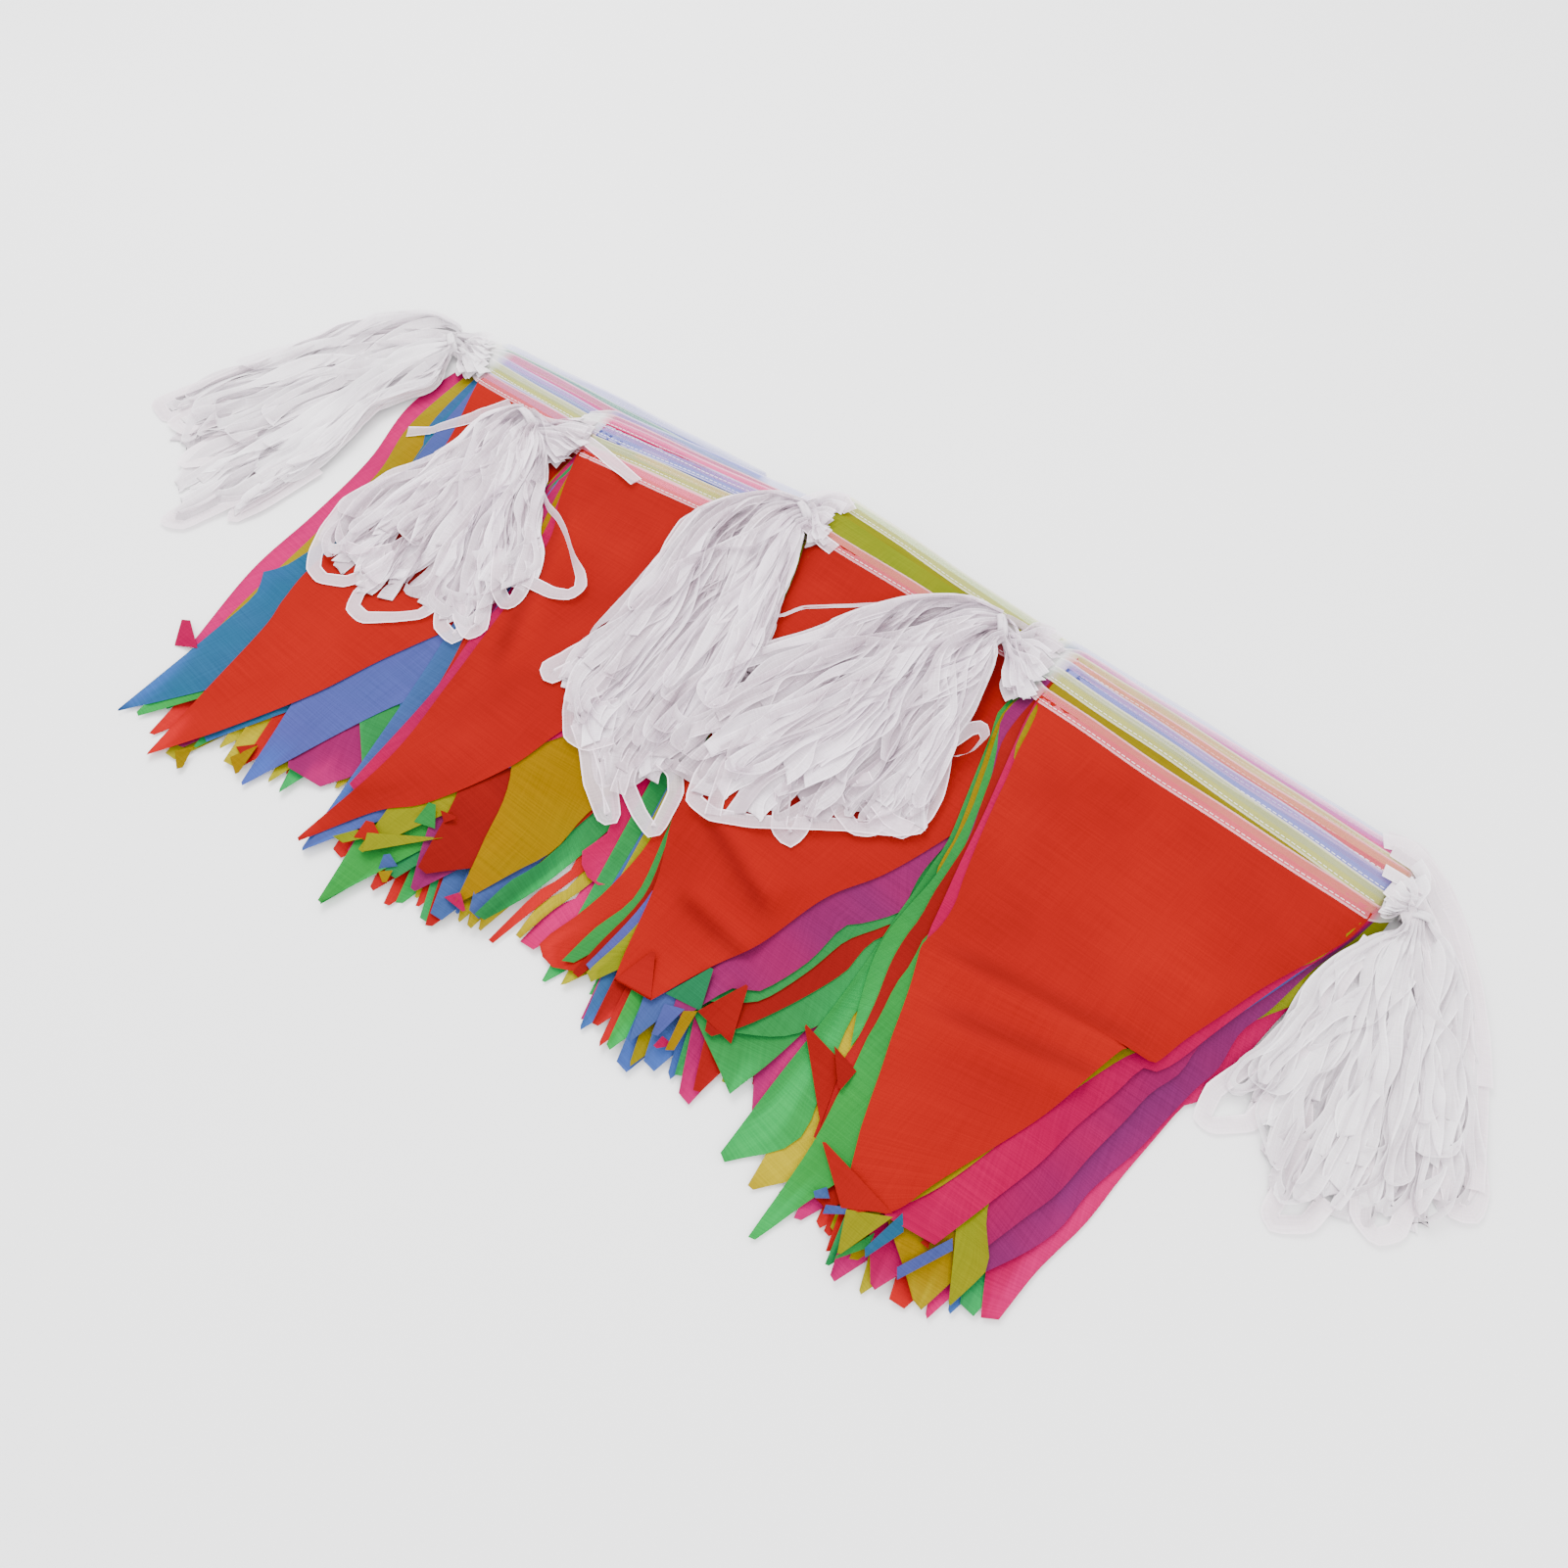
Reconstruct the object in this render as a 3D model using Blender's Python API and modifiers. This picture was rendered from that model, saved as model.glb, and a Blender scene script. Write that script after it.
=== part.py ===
"""Fabric bunting, gathered up for storage.

One long string of cloth pennants on a folded white tape lies in four stacks, shingled along one line. The
tape between the pennants is gathered into five hanks of flat loops, each tied off at the end of a stack.

Metres, +Z up. X runs along the headings of the stacks, from the rear stack to the front one, and the tips
point to -Y. The origin is the middle of the footprint, on the surface that the bunting lies on.
"""

from math import ceil, cos, pi, radians, sin
from typing import NamedTuple

import bpy
import numpy as np

# Driving dimensions
PENNANT_WIDTH = 0.195
TAPE_WIDTH = 0.010
CLOTH_THICKNESS = 0.0010
TAPE_THICKNESS = 0.0010
LAYER_GAP = 0.00045
TIP_WIDTH = 0.003
LOOSE_END_LENGTH = 0.052

# Each layer lies this far above the one under it, at the tips and at the headings
TIP_PITCH = 0.00142
HEADING_PITCH = 0.0018
HEADING_RISE_FROM = 0.0
HEADING_RISE_TO = 0.09
UNEVENNESS = 0.08

# A stack steps down from the one it lies on over this distance, beyond this margin
STEP_MARGIN = 0.043
STEP_LENGTH = 0.040

# How finely the pieces are divided
FORM_REACH_X = 0.36
FORM_REACH_Y = 0.22
FORM_COLUMNS = 18
FORM_ROWS = 8
EDGE_POINTS = 6
TAPE_TURN = 0.0018
TAPE_OUTSIDE = 0.0006
TAPE_OVERHANG = 0.0036
EDGE_GAP = 0.00045
FOLD_INSIDE = 0.0006
FOLD_OUTSIDE = 0.0016
SIDEWAYS_SCATTER = 0.002
HANK_COLUMNS = 11
HANK_ROWS = 11
LOOP_STEPS = 8
TIE_SIDES = 16
TIE_ROUNDING = 1.22

# The relief that the hanks are laid on
RELIEF_CELL = 0.0025
RELIEF_REACH = 0.60
SAMPLES_PER_EDGE = 8
DRAPE_PASSES = 60
DRAPE_EASE = 0.6
DRAPE_OVERSHOOT = 0.0010
DRAPE_TOLERANCE = 0.00010

HANK_STRANDS = 5
HANK_FURROW = 0.40
HANK_RIM = 0.0022
LOOP_WIDTH = 0.0085
LOOP_LIFT = 0.0011
LOOP_STAGGER = 0.00023
TIE_WIDTH = 0.0055
TIE_THICKNESS = 0.0012
TIE_CLEARANCE = 0.0007
NECK_LIFT = LAYER_GAP + TIE_THICKNESS + TIE_CLEARANCE


class Finish(NamedTuple):
    """Colour and surface of one cloth."""

    colour: tuple
    roughness: float


FINISHES = {
    "red": Finish((0.60, 0.035, 0.018), 0.55),
    "yellow": Finish((0.55, 0.46, 0.05), 0.55),
    "blue": Finish((0.06, 0.20, 0.45), 0.55),
    "magenta": Finish((0.68, 0.04, 0.20), 0.55),
    "green": Finish((0.07, 0.38, 0.12), 0.55),
    "tape": Finish((0.80, 0.78, 0.80), 0.60),
    "tie": Finish((0.86, 0.85, 0.86), 0.70),
}


class Stack(NamedTuple):
    """One stack of pennants: where its top heading starts, how it is turned, and how the lower ones trail."""

    name: str
    corner_x: float
    corner_y: float
    turn: float
    first_step: float
    trail: float
    lowest_turn: float


# In the order that they were laid down, each over the right-hand end of the one before.
STACKS = (
    Stack("rear", -0.336, 0.100, 2.0, 0.009, 0.030, 8.0),
    Stack("third", -0.230, 0.084, 8.0, 0.011, 0.048, 9.0),
    Stack("second", -0.081, 0.119, 0.5, 0.028, 0.038, -2.0),
    Stack("front", 0.079, 0.111, -0.8, 0.013, 0.045, -1.5),
)


class Leaf(NamedTuple):
    """One pennant of a stack: its tip, and how far its side edges bow to +X one and two thirds of the way down."""

    stack: str
    colour: str
    tip_x: float
    tip_y: float
    left_high: float = 0.0
    left_low: float = 0.0
    right_high: float = 0.0
    right_low: float = 0.0
    tip_width: float = TIP_WIDTH
    turned_back: float = 0.0


# From the lowest to the top one in each stack.
LEAVES = (
    Leaf("rear", "yellow", -0.178, -0.168, 0.000, 0.004, 0.002, 0.006),
    Leaf("rear", "magenta", -0.302, -0.158, -0.006, -0.012, -0.010, -0.004),
    Leaf("rear", "green", -0.198, -0.178, 0.006, 0.010, 0.004, 0.010),
    Leaf("rear", "magenta", -0.190, -0.160, 0.004, 0.010, 0.006, 0.014, 0.024),
    Leaf("rear", "green", -0.290, -0.188, -0.004, -0.006, 0.000, 0.000),
    Leaf("rear", "blue", -0.219, -0.182, 0.010, 0.014, 0.006, 0.012),
    Leaf("rear", "blue", -0.306, -0.190, -0.004, -0.006, -0.004, -0.002),
    Leaf("rear", "red", -0.267, -0.195, 0.002, -0.006, -0.006, 0.004),
    Leaf("third", "green", -0.122, -0.199, 0.012, 0.012, 0.004, 0.004),
    Leaf("third", "magenta", -0.046, -0.152, 0.010, 0.016, 0.006, 0.008),
    Leaf("third", "yellow", -0.062, -0.168, 0.012, 0.016, 0.004, 0.006),
    Leaf("third", "blue", -0.149, -0.186, 0.014, 0.014, 0.004, 0.006),
    Leaf("third", "magenta", -0.030, -0.110, 0.014, 0.018, 0.004, 0.000, 0.034),
    Leaf("third", "red", -0.098, -0.168, 0.016, 0.018, 0.004, 0.004),
    Leaf("third", "yellow", -0.077, -0.156, 0.014, 0.012, 0.010, 0.018),
    Leaf("third", "red", -0.165, -0.180, 0.028, 0.028, 0.008, 0.013),
    Leaf("second", "yellow", 0.036, -0.168, -0.004, -0.004, 0.004, 0.004),
    Leaf("second", "red", -0.012, -0.150, -0.008, -0.006, 0.002, 0.004),
    Leaf("second", "blue", 0.062, -0.166, -0.004, -0.002, 0.004, 0.004),
    Leaf("second", "green", 0.098, -0.146, -0.002, 0.000, 0.008, 0.008),
    Leaf("second", "green", 0.010, -0.156, -0.008, -0.006, 0.004, 0.004),
    Leaf("second", "magenta", 0.072, -0.140, -0.004, -0.002, 0.006, 0.008, 0.018),
    Leaf("second", "yellow", 0.018, -0.158, -0.008, -0.010, 0.004, 0.004),
    Leaf("second", "red", 0.030, -0.168, -0.006, -0.008, 0.004, 0.004, TIP_WIDTH, 0.11),
    Leaf("front", "blue", 0.202, -0.168, 0.000, 0.000, 0.004, 0.008),
    Leaf("front", "green", 0.112, -0.169, -0.008, -0.012, 0.000, -0.004),
    Leaf("front", "yellow", 0.189, -0.174, -0.004, 0.000, 0.004, 0.006),
    Leaf("front", "magenta", 0.234, -0.153, 0.004, 0.004, 0.006, 0.014),
    Leaf("front", "green", 0.140, -0.186, -0.008, -0.012, 0.000, 0.000),
    Leaf("front", "blue", 0.218, -0.160, 0.004, 0.004, 0.004, 0.010),
    Leaf("front", "magenta", 0.194, -0.141, 0.000, 0.004, 0.004, 0.008, 0.016),
    Leaf("front", "red", 0.166, -0.170, -0.006, -0.010, 0.004, -0.004, TIP_WIDTH, 0.13),
)


class Section(NamedTuple):
    """One cross-section of a hank, from the end of its stack, through its neck, to its spread loops."""

    hank: str
    x: float
    y: float
    half_width: float
    thickness: float


# The second section of each hank is its neck, where the tie goes.
SECTIONS = (
    Section("far_left", -0.350, 0.121, 0.014, 0.013),
    Section("far_left", -0.376, 0.116, 0.008, 0.012),
    Section("far_left", -0.397, 0.103, 0.020, 0.014),
    Section("far_left", -0.410, 0.066, 0.034, 0.015),
    Section("far_left", -0.414, 0.008, 0.052, 0.013),
    Section("far_left", -0.424, -0.032, 0.056, 0.007),
    Section("left", -0.2425, 0.108, 0.016, 0.013),
    Section("left", -0.266, 0.096, 0.009, 0.013),
    Section("left", -0.272, 0.072, 0.020, 0.014),
    Section("left", -0.260, 0.038, 0.036, 0.015),
    Section("left", -0.249, 0.000, 0.053, 0.013),
    Section("left", -0.245, -0.030, 0.054, 0.007),
    Section("middle", -0.092, 0.143, 0.016, 0.013),
    Section("middle", -0.108, 0.133, 0.009, 0.014),
    Section("middle", -0.116, 0.106, 0.020, 0.015),
    Section("middle", -0.105, 0.070, 0.034, 0.016),
    Section("middle", -0.094, 0.025, 0.040, 0.015),
    Section("middle", -0.088, -0.030, 0.043, 0.007),
    Section("right", 0.0685, 0.140, 0.018, 0.014),
    Section("right", 0.045, 0.130, 0.010, 0.015),
    Section("right", 0.023, 0.104, 0.024, 0.016),
    Section("right", 0.014, 0.072, 0.038, 0.017),
    Section("right", 0.008, 0.030, 0.050, 0.015),
    Section("right", 0.004, -0.012, 0.052, 0.007),
    Section("far_right", 0.284, 0.136, 0.016, 0.013),
    Section("far_right", 0.298, 0.127, 0.009, 0.013),
    Section("far_right", 0.313, 0.103, 0.019, 0.014),
    Section("far_right", 0.315, 0.066, 0.036, 0.015),
    Section("far_right", 0.315, 0.024, 0.047, 0.013),
    Section("far_right", 0.310, -0.006, 0.045, 0.007),
)


class Loop(NamedTuple):
    """One tape loop that stands out from the end of a hank: its outer end, and its width over both legs."""

    hank: str
    end_x: float
    end_y: float
    width: float


LOOPS = (
    Loop("far_left", -0.468, -0.046, 0.026),
    Loop("far_left", -0.438, -0.061, 0.024),
    Loop("far_left", -0.401, -0.094, 0.026),
    Loop("far_left", -0.375, -0.064, 0.024),
    Loop("left", -0.299, -0.062, 0.030),
    Loop("left", -0.262, -0.060, 0.024),
    Loop("left", -0.246, -0.079, 0.032),
    Loop("left", -0.190, -0.045, 0.026),
    Loop("left", -0.166, 0.006, 0.032),
    Loop("middle", -0.132, -0.038, 0.024),
    Loop("middle", -0.103, -0.056, 0.026),
    Loop("middle", -0.078, -0.062, 0.024),
    Loop("middle", -0.050, -0.080, 0.036),
    Loop("right", -0.038, -0.042, 0.026),
    Loop("right", -0.006, -0.050, 0.034),
    Loop("right", 0.028, -0.034, 0.026),
    Loop("right", 0.078, 0.006, 0.036),
    Loop("far_right", 0.264, -0.027, 0.024),
    Loop("far_right", 0.303, -0.045, 0.032),
    Loop("far_right", 0.332, -0.028, 0.024),
    Loop("far_right", 0.361, 0.000, 0.026),
)

# Which hanks are laid on which stack, once that stack is down.
HANKS_AFTER = {
    "rear": ("far_left",),
    "third": ("left",),
    "second": ("middle",),
    "front": ("right", "far_right"),
}


class Relief:
    """The height of everything laid so far, over the floor, on a fine square grid."""

    def __init__(self):
        cells = ceil(2 * RELIEF_REACH / RELIEF_CELL)
        self.height = np.zeros((cells, cells))

    def cell_of(self, x, y):
        column = (np.asarray(x) + RELIEF_REACH) / RELIEF_CELL
        row = (np.asarray(y) + RELIEF_REACH) / RELIEF_CELL
        return column.astype(int), row.astype(int)

    def widened(self):
        """The same heights, each spread to the cells around it, so that an edge between samples isn't missed."""
        tall = self.height.copy()
        for axis in (0, 1):
            tall = np.maximum(tall, np.maximum(np.roll(tall, 1, axis), np.roll(tall, -1, axis)))
        return tall

    def highest_near(self, spot, reach):
        """The highest of the relief in a square round a plan point."""
        column, row = self.cell_of(spot[0], spot[1])
        cells = ceil(reach / RELIEF_CELL)
        return self.height[column - cells : column + cells + 1, row - cells : row + cells + 1].max()

    def lay(self, piece):
        """Raises the relief to the top of a piece."""
        mesh = piece.evaluated_get(bpy.context.evaluated_depsgraph_get()).to_mesh()
        mesh.calc_loop_triangles()
        points = np.array([vertex.co for vertex in mesh.vertices])
        triangles = np.array([triangle.vertices for triangle in mesh.loop_triangles])
        spots = sampled(points, triangles)
        column, row = self.cell_of(spots[:, 0], spots[:, 1])
        np.maximum.at(self.height, (column, row), spots[:, 2])


def barycentric():
    """Evenly spread weights of a triangle's corners."""
    n = SAMPLES_PER_EDGE
    return np.array([(i / n, j / n, (n - i - j) / n) for i in range(n + 1) for j in range(n + 1 - i)])


def sampled(points, triangles, times=3):
    """Points spread over the triangles, closer together than the relief's cells."""
    corners = points[triangles]
    for _ in range(times - 1):
        middles = (corners + np.roll(corners, -1, axis=1)) / 2
        corners = np.concatenate(
            [
                np.stack([corners[:, 0], middles[:, 0], middles[:, 2]], axis=1),
                np.stack([corners[:, 1], middles[:, 1], middles[:, 0]], axis=1),
                np.stack([corners[:, 2], middles[:, 2], middles[:, 1]], axis=1),
                middles,
            ]
        )
    return np.einsum("sk,tkc->tsc", barycentric(), corners).reshape(-1, 3)


def grid_triangles(rows, columns):
    """Two triangles for each cell of a grid of points, wound so that they face up where x runs with columns."""
    index = np.arange(rows * columns).reshape(rows, columns)
    a, b, c, d = index[:-1, :-1], index[:-1, 1:], index[1:, 1:], index[1:, :-1]
    return np.stack([np.stack([a, d, b], -1), np.stack([b, d, c], -1)]).reshape(-1, 3)


def draped(relief, x, y, clearance):
    """The lowest heights that keep a grid of points, and the triangles between them, clear of the relief."""
    rows, columns = x.shape
    triangles = grid_triangles(rows, columns)
    weights = barycentric()
    under = relief.widened()
    flat = np.stack([x.ravel(), y.ravel()], axis=1)
    spots = np.einsum("sk,tkc->tsc", weights, flat[triangles])
    column, row = relief.cell_of(spots[..., 0], spots[..., 1])
    floor = under[column, row]
    needed = np.where(floor > 0, floor + clearance, 0.0)
    z = np.zeros(rows * columns)
    ceiling = np.zeros_like(z)
    np.maximum.at(ceiling, triangles.ravel(), needed.max(axis=1).repeat(3))
    ceiling[ceiling > 0] += DRAPE_OVERSHOOT
    share = weights / (weights**2).sum(axis=1, keepdims=True)
    for _ in range(DRAPE_PASSES):
        short = needed - np.einsum("sk,tk->ts", weights, z[triangles])
        if short.max() < DRAPE_TOLERANCE:
            break
        lift = np.einsum("ts,sk->tsk", np.maximum(short, 0), share).max(axis=1)
        rise = np.zeros_like(z)
        np.maximum.at(rise, triangles.ravel(), lift.ravel())
        z = np.minimum(z + rise * DRAPE_EASE, ceiling)
    return z.reshape(rows, columns)


def new_material(name, finish):
    """A plain dielectric cloth."""
    material = bpy.data.materials.new(name)
    material.use_nodes = True
    shader = material.node_tree.nodes["Principled BSDF"]
    shader.inputs["Base Color"].default_value = (*finish.colour, 1.0)
    shader.inputs["Roughness"].default_value = finish.roughness
    shader.inputs["Metallic"].default_value = 0.0
    return material


def new_object(name, points, faces, finish, collection):
    """A mesh object from points and faces, with a material of its own."""
    mesh = bpy.data.meshes.new(name)
    mesh.from_pydata([tuple(map(float, point)) for point in points], [], [tuple(map(int, face)) for face in faces])
    mesh.materials.append(new_material(name, FINISHES[finish]))
    piece = bpy.data.objects.new(name, mesh)
    collection.objects.link(piece)
    return piece


def thicken(piece, thickness, offset):
    """Gives a sheet its thickness: offset 1 is above it, 0 is half on each side."""
    solidify = piece.modifiers.new("thickness", "SOLIDIFY")
    solidify.thickness = thickness
    solidify.offset = offset
    return solidify


def bowed(start, end, high, low, v):
    """Points along a side edge that bows to +X by high and low, one and two thirds of the way down."""
    straight = np.outer(1 - v, start) + np.outer(v, end)
    bow = 13.5 * v * (1 - v) * (high * (2 / 3 - v) + low * (v - 1 / 3))
    return straight + np.stack([bow, np.zeros_like(v)], axis=1)


def heading_of(stack, step, count):
    """Left corner and direction of a pennant's top edge, step places below the top one."""
    drop = step / (count - 1)
    back = 0.0
    if step:
        back = stack.first_step + (stack.trail - stack.first_step) * (step - 1) / (count - 2)
    turn = radians(stack.turn + (stack.lowest_turn - stack.turn) * drop)
    sideways = SIDEWAYS_SCATTER * sin(2.4 * step)
    corner = np.array([stack.corner_x + sideways, stack.corner_y + back])
    return corner, np.array([cos(turn), sin(turn)])


def side_edges(leaf, corner, along, lowest=1.0):
    """The left and right edges of a pennant, from its heading down to a share of its height."""
    tip = np.array([leaf.tip_x, leaf.tip_y])
    half = along * leaf.tip_width / 2
    v = np.linspace(0, lowest, EDGE_POINTS)
    left = bowed(corner, tip - half, leaf.left_high, leaf.left_low, v)
    right = bowed(corner + along * PENNANT_WIDTH, tip + half, leaf.right_high, leaf.right_low, v)
    return left, right


def smooth_step(share):
    """0 below 0, 1 above 1, and a soft rise between."""
    share = np.clip(share, 0, 1)
    return share**2 * (3 - 2 * share)


def stack_layout(stack):
    """Each pennant of a stack with its heading, from the lowest up."""
    leaves = [leaf for leaf in LEAVES if leaf.stack == stack.name]
    return [
        (leaf, *heading_of(stack, len(leaves) - 1 - order, len(leaves)))
        for order, leaf in enumerate(leaves)
    ]


def right_reach(layout, y):
    """How far to +X any pennant of a stack reaches, at each y."""
    reaches = []
    for leaf, corner, along in layout:
        _, right = side_edges(leaf, corner, along)
        reaches.append(np.interp(y, right[::-1, 1], right[::-1, 0]))
    return np.max(reaches, axis=0)


def pitch_at(x, y):
    """The height of one layer of a stack, cloth and air, a little uneven over the plan."""
    rise = smooth_step((y - HEADING_RISE_FROM) / (HEADING_RISE_TO - HEADING_RISE_FROM))
    wave = np.sin(31 * x + 9 * y) * np.sin(38 * y - 17 * x)
    return (TIP_PITCH + (HEADING_PITCH - TIP_PITCH) * rise) * (1 + UNEVENNESS * wave)


class Form:
    """Heights of the layers of one stack on a plan lattice, which all stacks share so that none cuts another."""

    def __init__(self, below=None, layout=()):
        """below is the form of the stack that this one partly lies on, and layout is that stack's."""
        x = np.linspace(-FORM_REACH_X, FORM_REACH_X, FORM_COLUMNS)
        y = np.linspace(FORM_REACH_Y, -FORM_REACH_Y, FORM_ROWS)
        self.x, self.y = np.meshgrid(x, y)
        self.pitch = pitch_at(self.x, self.y)
        self.base = np.zeros_like(self.x)
        if below:
            past = self.x - right_reach(layout, self.y) - STEP_MARGIN
            self.base = below.height(len(layout)) * smooth_step(1 - past / STEP_LENGTH)

    def height(self, layer):
        """Heights of the lattice at a layer, which may be a fraction."""
        return self.base + layer * self.pitch

    def height_at(self, spots, layer):
        """Heights at plan points, on the triangles of the lattice."""
        grid = self.height(layer)
        column = np.interp(spots[:, 0], self.x[0], np.arange(FORM_COLUMNS))
        row = np.interp(-spots[:, 1], -self.y[:, 0], np.arange(FORM_ROWS))
        c = np.minimum(column.astype(int), FORM_COLUMNS - 2)
        r = np.minimum(row.astype(int), FORM_ROWS - 2)
        s, t = column - c, row - r
        low, high = grid[r, c + 1], grid[r + 1, c]
        near = grid[r, c] + s * (low - grid[r, c]) + t * (high - grid[r, c])
        far = grid[r + 1, c + 1]
        far = far + (1 - s) * (high - far) + (1 - t) * (low - far)
        return np.where(s + t < 1, near, far)

    def slab(self, low_layer, high_layer, extra):
        """Points and faces of the solid from one layer's underside to another's top."""
        surface = np.dstack([self.x, self.y, self.height(low_layer)])
        return closed_slab(surface, self.height(high_layer) + extra - self.height(low_layer))


def add_prism(name, outline, helpers):
    """A tall prism over a plan outline, kept out of the render."""
    count = len(outline)
    points = [(*spot, z) for z in (-0.01, 0.15) for spot in outline]
    index = list(range(count))
    walls = [(i, (i + 1) % count, (i + 1) % count + count, i + count) for i in index]
    prism = new_object(name, points, [index[::-1], [i + count for i in index], *walls], "tape", helpers)
    prism.display_type = "WIRE"
    prism.hide_render = True
    return prism


def cut_slab(name, slab, outline, finish, collection, helpers):
    """The part of a slab inside a plan outline, which runs anticlockwise."""
    points, faces = slab
    piece = new_object(name, points, faces, finish, collection)
    cut = piece.modifiers.new("outline", "BOOLEAN")
    cut.operation = "INTERSECT"
    cut.solver = "EXACT"
    cut.object = add_prism(f"outline_{name}", outline, helpers)
    return piece


def mirrored(spot, first, second):
    """A plan point turned over the line through two others."""
    line = (second - first) / np.linalg.norm(second - first)
    offset = spot - first
    return first + 2 * (offset @ line) * line - offset


def add_turned_tip(piece, form, layer, leaf, left, right, helpers):
    """Joins a tip that is folded over to its pennant: the bend along the fold, and the tip above the cloth."""
    tip = np.array([leaf.tip_x, leaf.tip_y])
    apex = mirrored(tip, left[-1], right[-1])
    down = tip - (left[-1] + right[-1]) / 2
    down /= np.linalg.norm(down)
    inset = (right[-1] - left[-1]) * 0.02
    first, last = left[-1] + inset, right[-1] - inset
    inside, outside = down * FOLD_INSIDE, down * FOLD_OUTSIDE
    bend = np.array([first - inside, first + outside, last + outside, last - inside])
    flap = np.array([left[-1] + outside / 2, right[-1] + outside / 2, apex])
    group = bpy.data.collections.new(f"turned_{piece.name}")
    helpers.children.link(group)
    shapes = (("bend", bend, layer + 0.25, layer + 0.75), ("flap", flap, layer + 1, layer + 1))
    for label, outline, low_layer, high_layer in shapes:
        slab = form.slab(low_layer, high_layer, CLOTH_THICKNESS)
        cut_slab(f"{label}_{piece.name}", slab, outline, leaf.colour, group, helpers)
    unite(piece, group, "turned_tip")


def add_pennant(form, layer, leaf, corner, along, collection, helpers):
    """One draped pennant, cut from its layer of the stack."""
    left, right = side_edges(leaf, corner, along, 1 - leaf.turned_back)
    outline = np.concatenate([left, right[::-1]])
    name = f"{leaf.stack}_pennant_{layer + 1}_{leaf.colour}"
    slab = form.slab(layer, layer, CLOTH_THICKNESS)
    piece = cut_slab(name, slab, outline, leaf.colour, collection, helpers)
    if leaf.turned_back:
        add_turned_tip(piece, form, layer, leaf, left, right, helpers)


def tape_outline(corner, along, first_x, last_x):
    """Plan outline of one run of tape behind a pennant's top edge, between two x, anticlockwise."""
    across = np.array([-along[1], along[0]])
    ends = [corner + along * (x - corner[0]) / along[0] for x in (first_x, last_x)]
    front = [end + across * EDGE_GAP for end in ends]
    back = [end + across * (EDGE_GAP + TAPE_WIDTH) for end in ends]
    return np.array([front[0], front[1], back[1], back[0]])


def turn_outline(lower, upper, right):
    """Plan outline of the turn of the tape from the end of one run to the end of the next above it."""
    front, back = (upper[1], lower[2]) if right else (upper[0], lower[3])
    near, far = (-TAPE_TURN, TAPE_OUTSIDE) if right else (-TAPE_OUTSIDE, TAPE_TURN)
    low, high = front[1] - EDGE_GAP / 2, back[1] + EDGE_GAP / 2
    x = front[0]
    return np.array([(x + near, low), (x + far, low), (x + far, high), (x + near, high)])


def unite(piece, group, label):
    """Joins a collection of helpers to a piece, as one solid."""
    for part in group.objects:
        part.display_type = "WIRE"
        part.hide_render = True
    fuse = piece.modifiers.new(label, "BOOLEAN")
    fuse.operation = "UNION"
    fuse.solver = "EXACT"
    fuse.operand_type = "COLLECTION"
    fuse.collection = group


def add_tape(form, stack, layout, collection, helpers):
    """The tape of a stack: a run behind each heading, joined at alternate ends into one folded length."""
    name = f"{stack.name}_tape"
    group = bpy.data.collections.new(f"runs_{name}")
    helpers.children.link(group)
    first_x = min(corner[0] for _, corner, _ in layout) - TAPE_OVERHANG
    last_x = max((corner + along * PENNANT_WIDTH)[0] for _, corner, along in layout) + TAPE_OVERHANG
    runs = [tape_outline(corner, along, first_x, last_x) for _, corner, along in layout]
    tape = cut_slab(name, form.slab(0, 0, TAPE_THICKNESS), runs[0], "tape", collection, helpers)
    for layer in range(1, len(runs)):
        run = form.slab(layer, layer, TAPE_THICKNESS)
        cut_slab(f"run_{layer}_{name}", run, runs[layer], "tape", group, helpers)
        turn = form.slab(layer - 0.8, layer - 0.25, TAPE_THICKNESS)
        bend = turn_outline(runs[layer - 1], runs[layer], layer % 2 == 1)
        cut_slab(f"turn_{layer}_{name}", turn, bend, "tape", group, helpers)
    unite(tape, group, "runs")


def add_stack(stack, form, collection, helpers):
    """The pennants of a stack from the lowest up, and their tape. Returns the layout."""
    layout = stack_layout(stack)
    for layer, (leaf, corner, along) in enumerate(layout):
        add_pennant(form, layer, leaf, corner, along, collection, helpers)
    add_tape(form, stack, layout, collection, helpers)
    return layout


def add_loose_end(relief, stack, collection):
    """The cut end of the string, lying on the heading of its stack."""
    corner, along = heading_of(stack, 0, 2)
    line = np.array([cos(radians(2)), sin(radians(2))])
    across = np.array([-line[1], line[0]])
    start = corner + along * 0.001 + across * 0.002
    steps = np.linspace(0, LOOSE_END_LENGTH, 5)
    front = start + np.outer(steps, line)
    back = front + across * TAPE_WIDTH + np.outer(steps == steps[-1], line) * -0.003
    plan = np.stack([back, front])
    z = draped(relief, plan[..., 0], plan[..., 1], LAYER_GAP)
    sheet = np.dstack([plan, z]).reshape(-1, 3)
    triangles = grid_triangles(*z.shape)
    piece = new_object("loose_tape_end", sheet, triangles, "tape", collection)
    thicken(piece, TAPE_THICKNESS, 1)


def smooth_path(knots, count):
    """Evenly spaced values along a smooth curve through rows of numbers."""
    knots = np.asarray(knots, float)
    padded = np.vstack([2 * knots[0] - knots[1], knots, 2 * knots[-1] - knots[-2]])
    spots = np.linspace(0, len(knots) - 1, count)
    first = np.minimum(spots.astype(int), len(knots) - 2)
    t = (spots - first)[:, None]
    a, b, c, d = (padded[first + k] for k in range(4))
    return 0.5 * (
        2 * b + (c - a) * t + (2 * a - 5 * b + 4 * c - d) * t**2 + (3 * b - a - 3 * c + d) * t**3
    )


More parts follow.
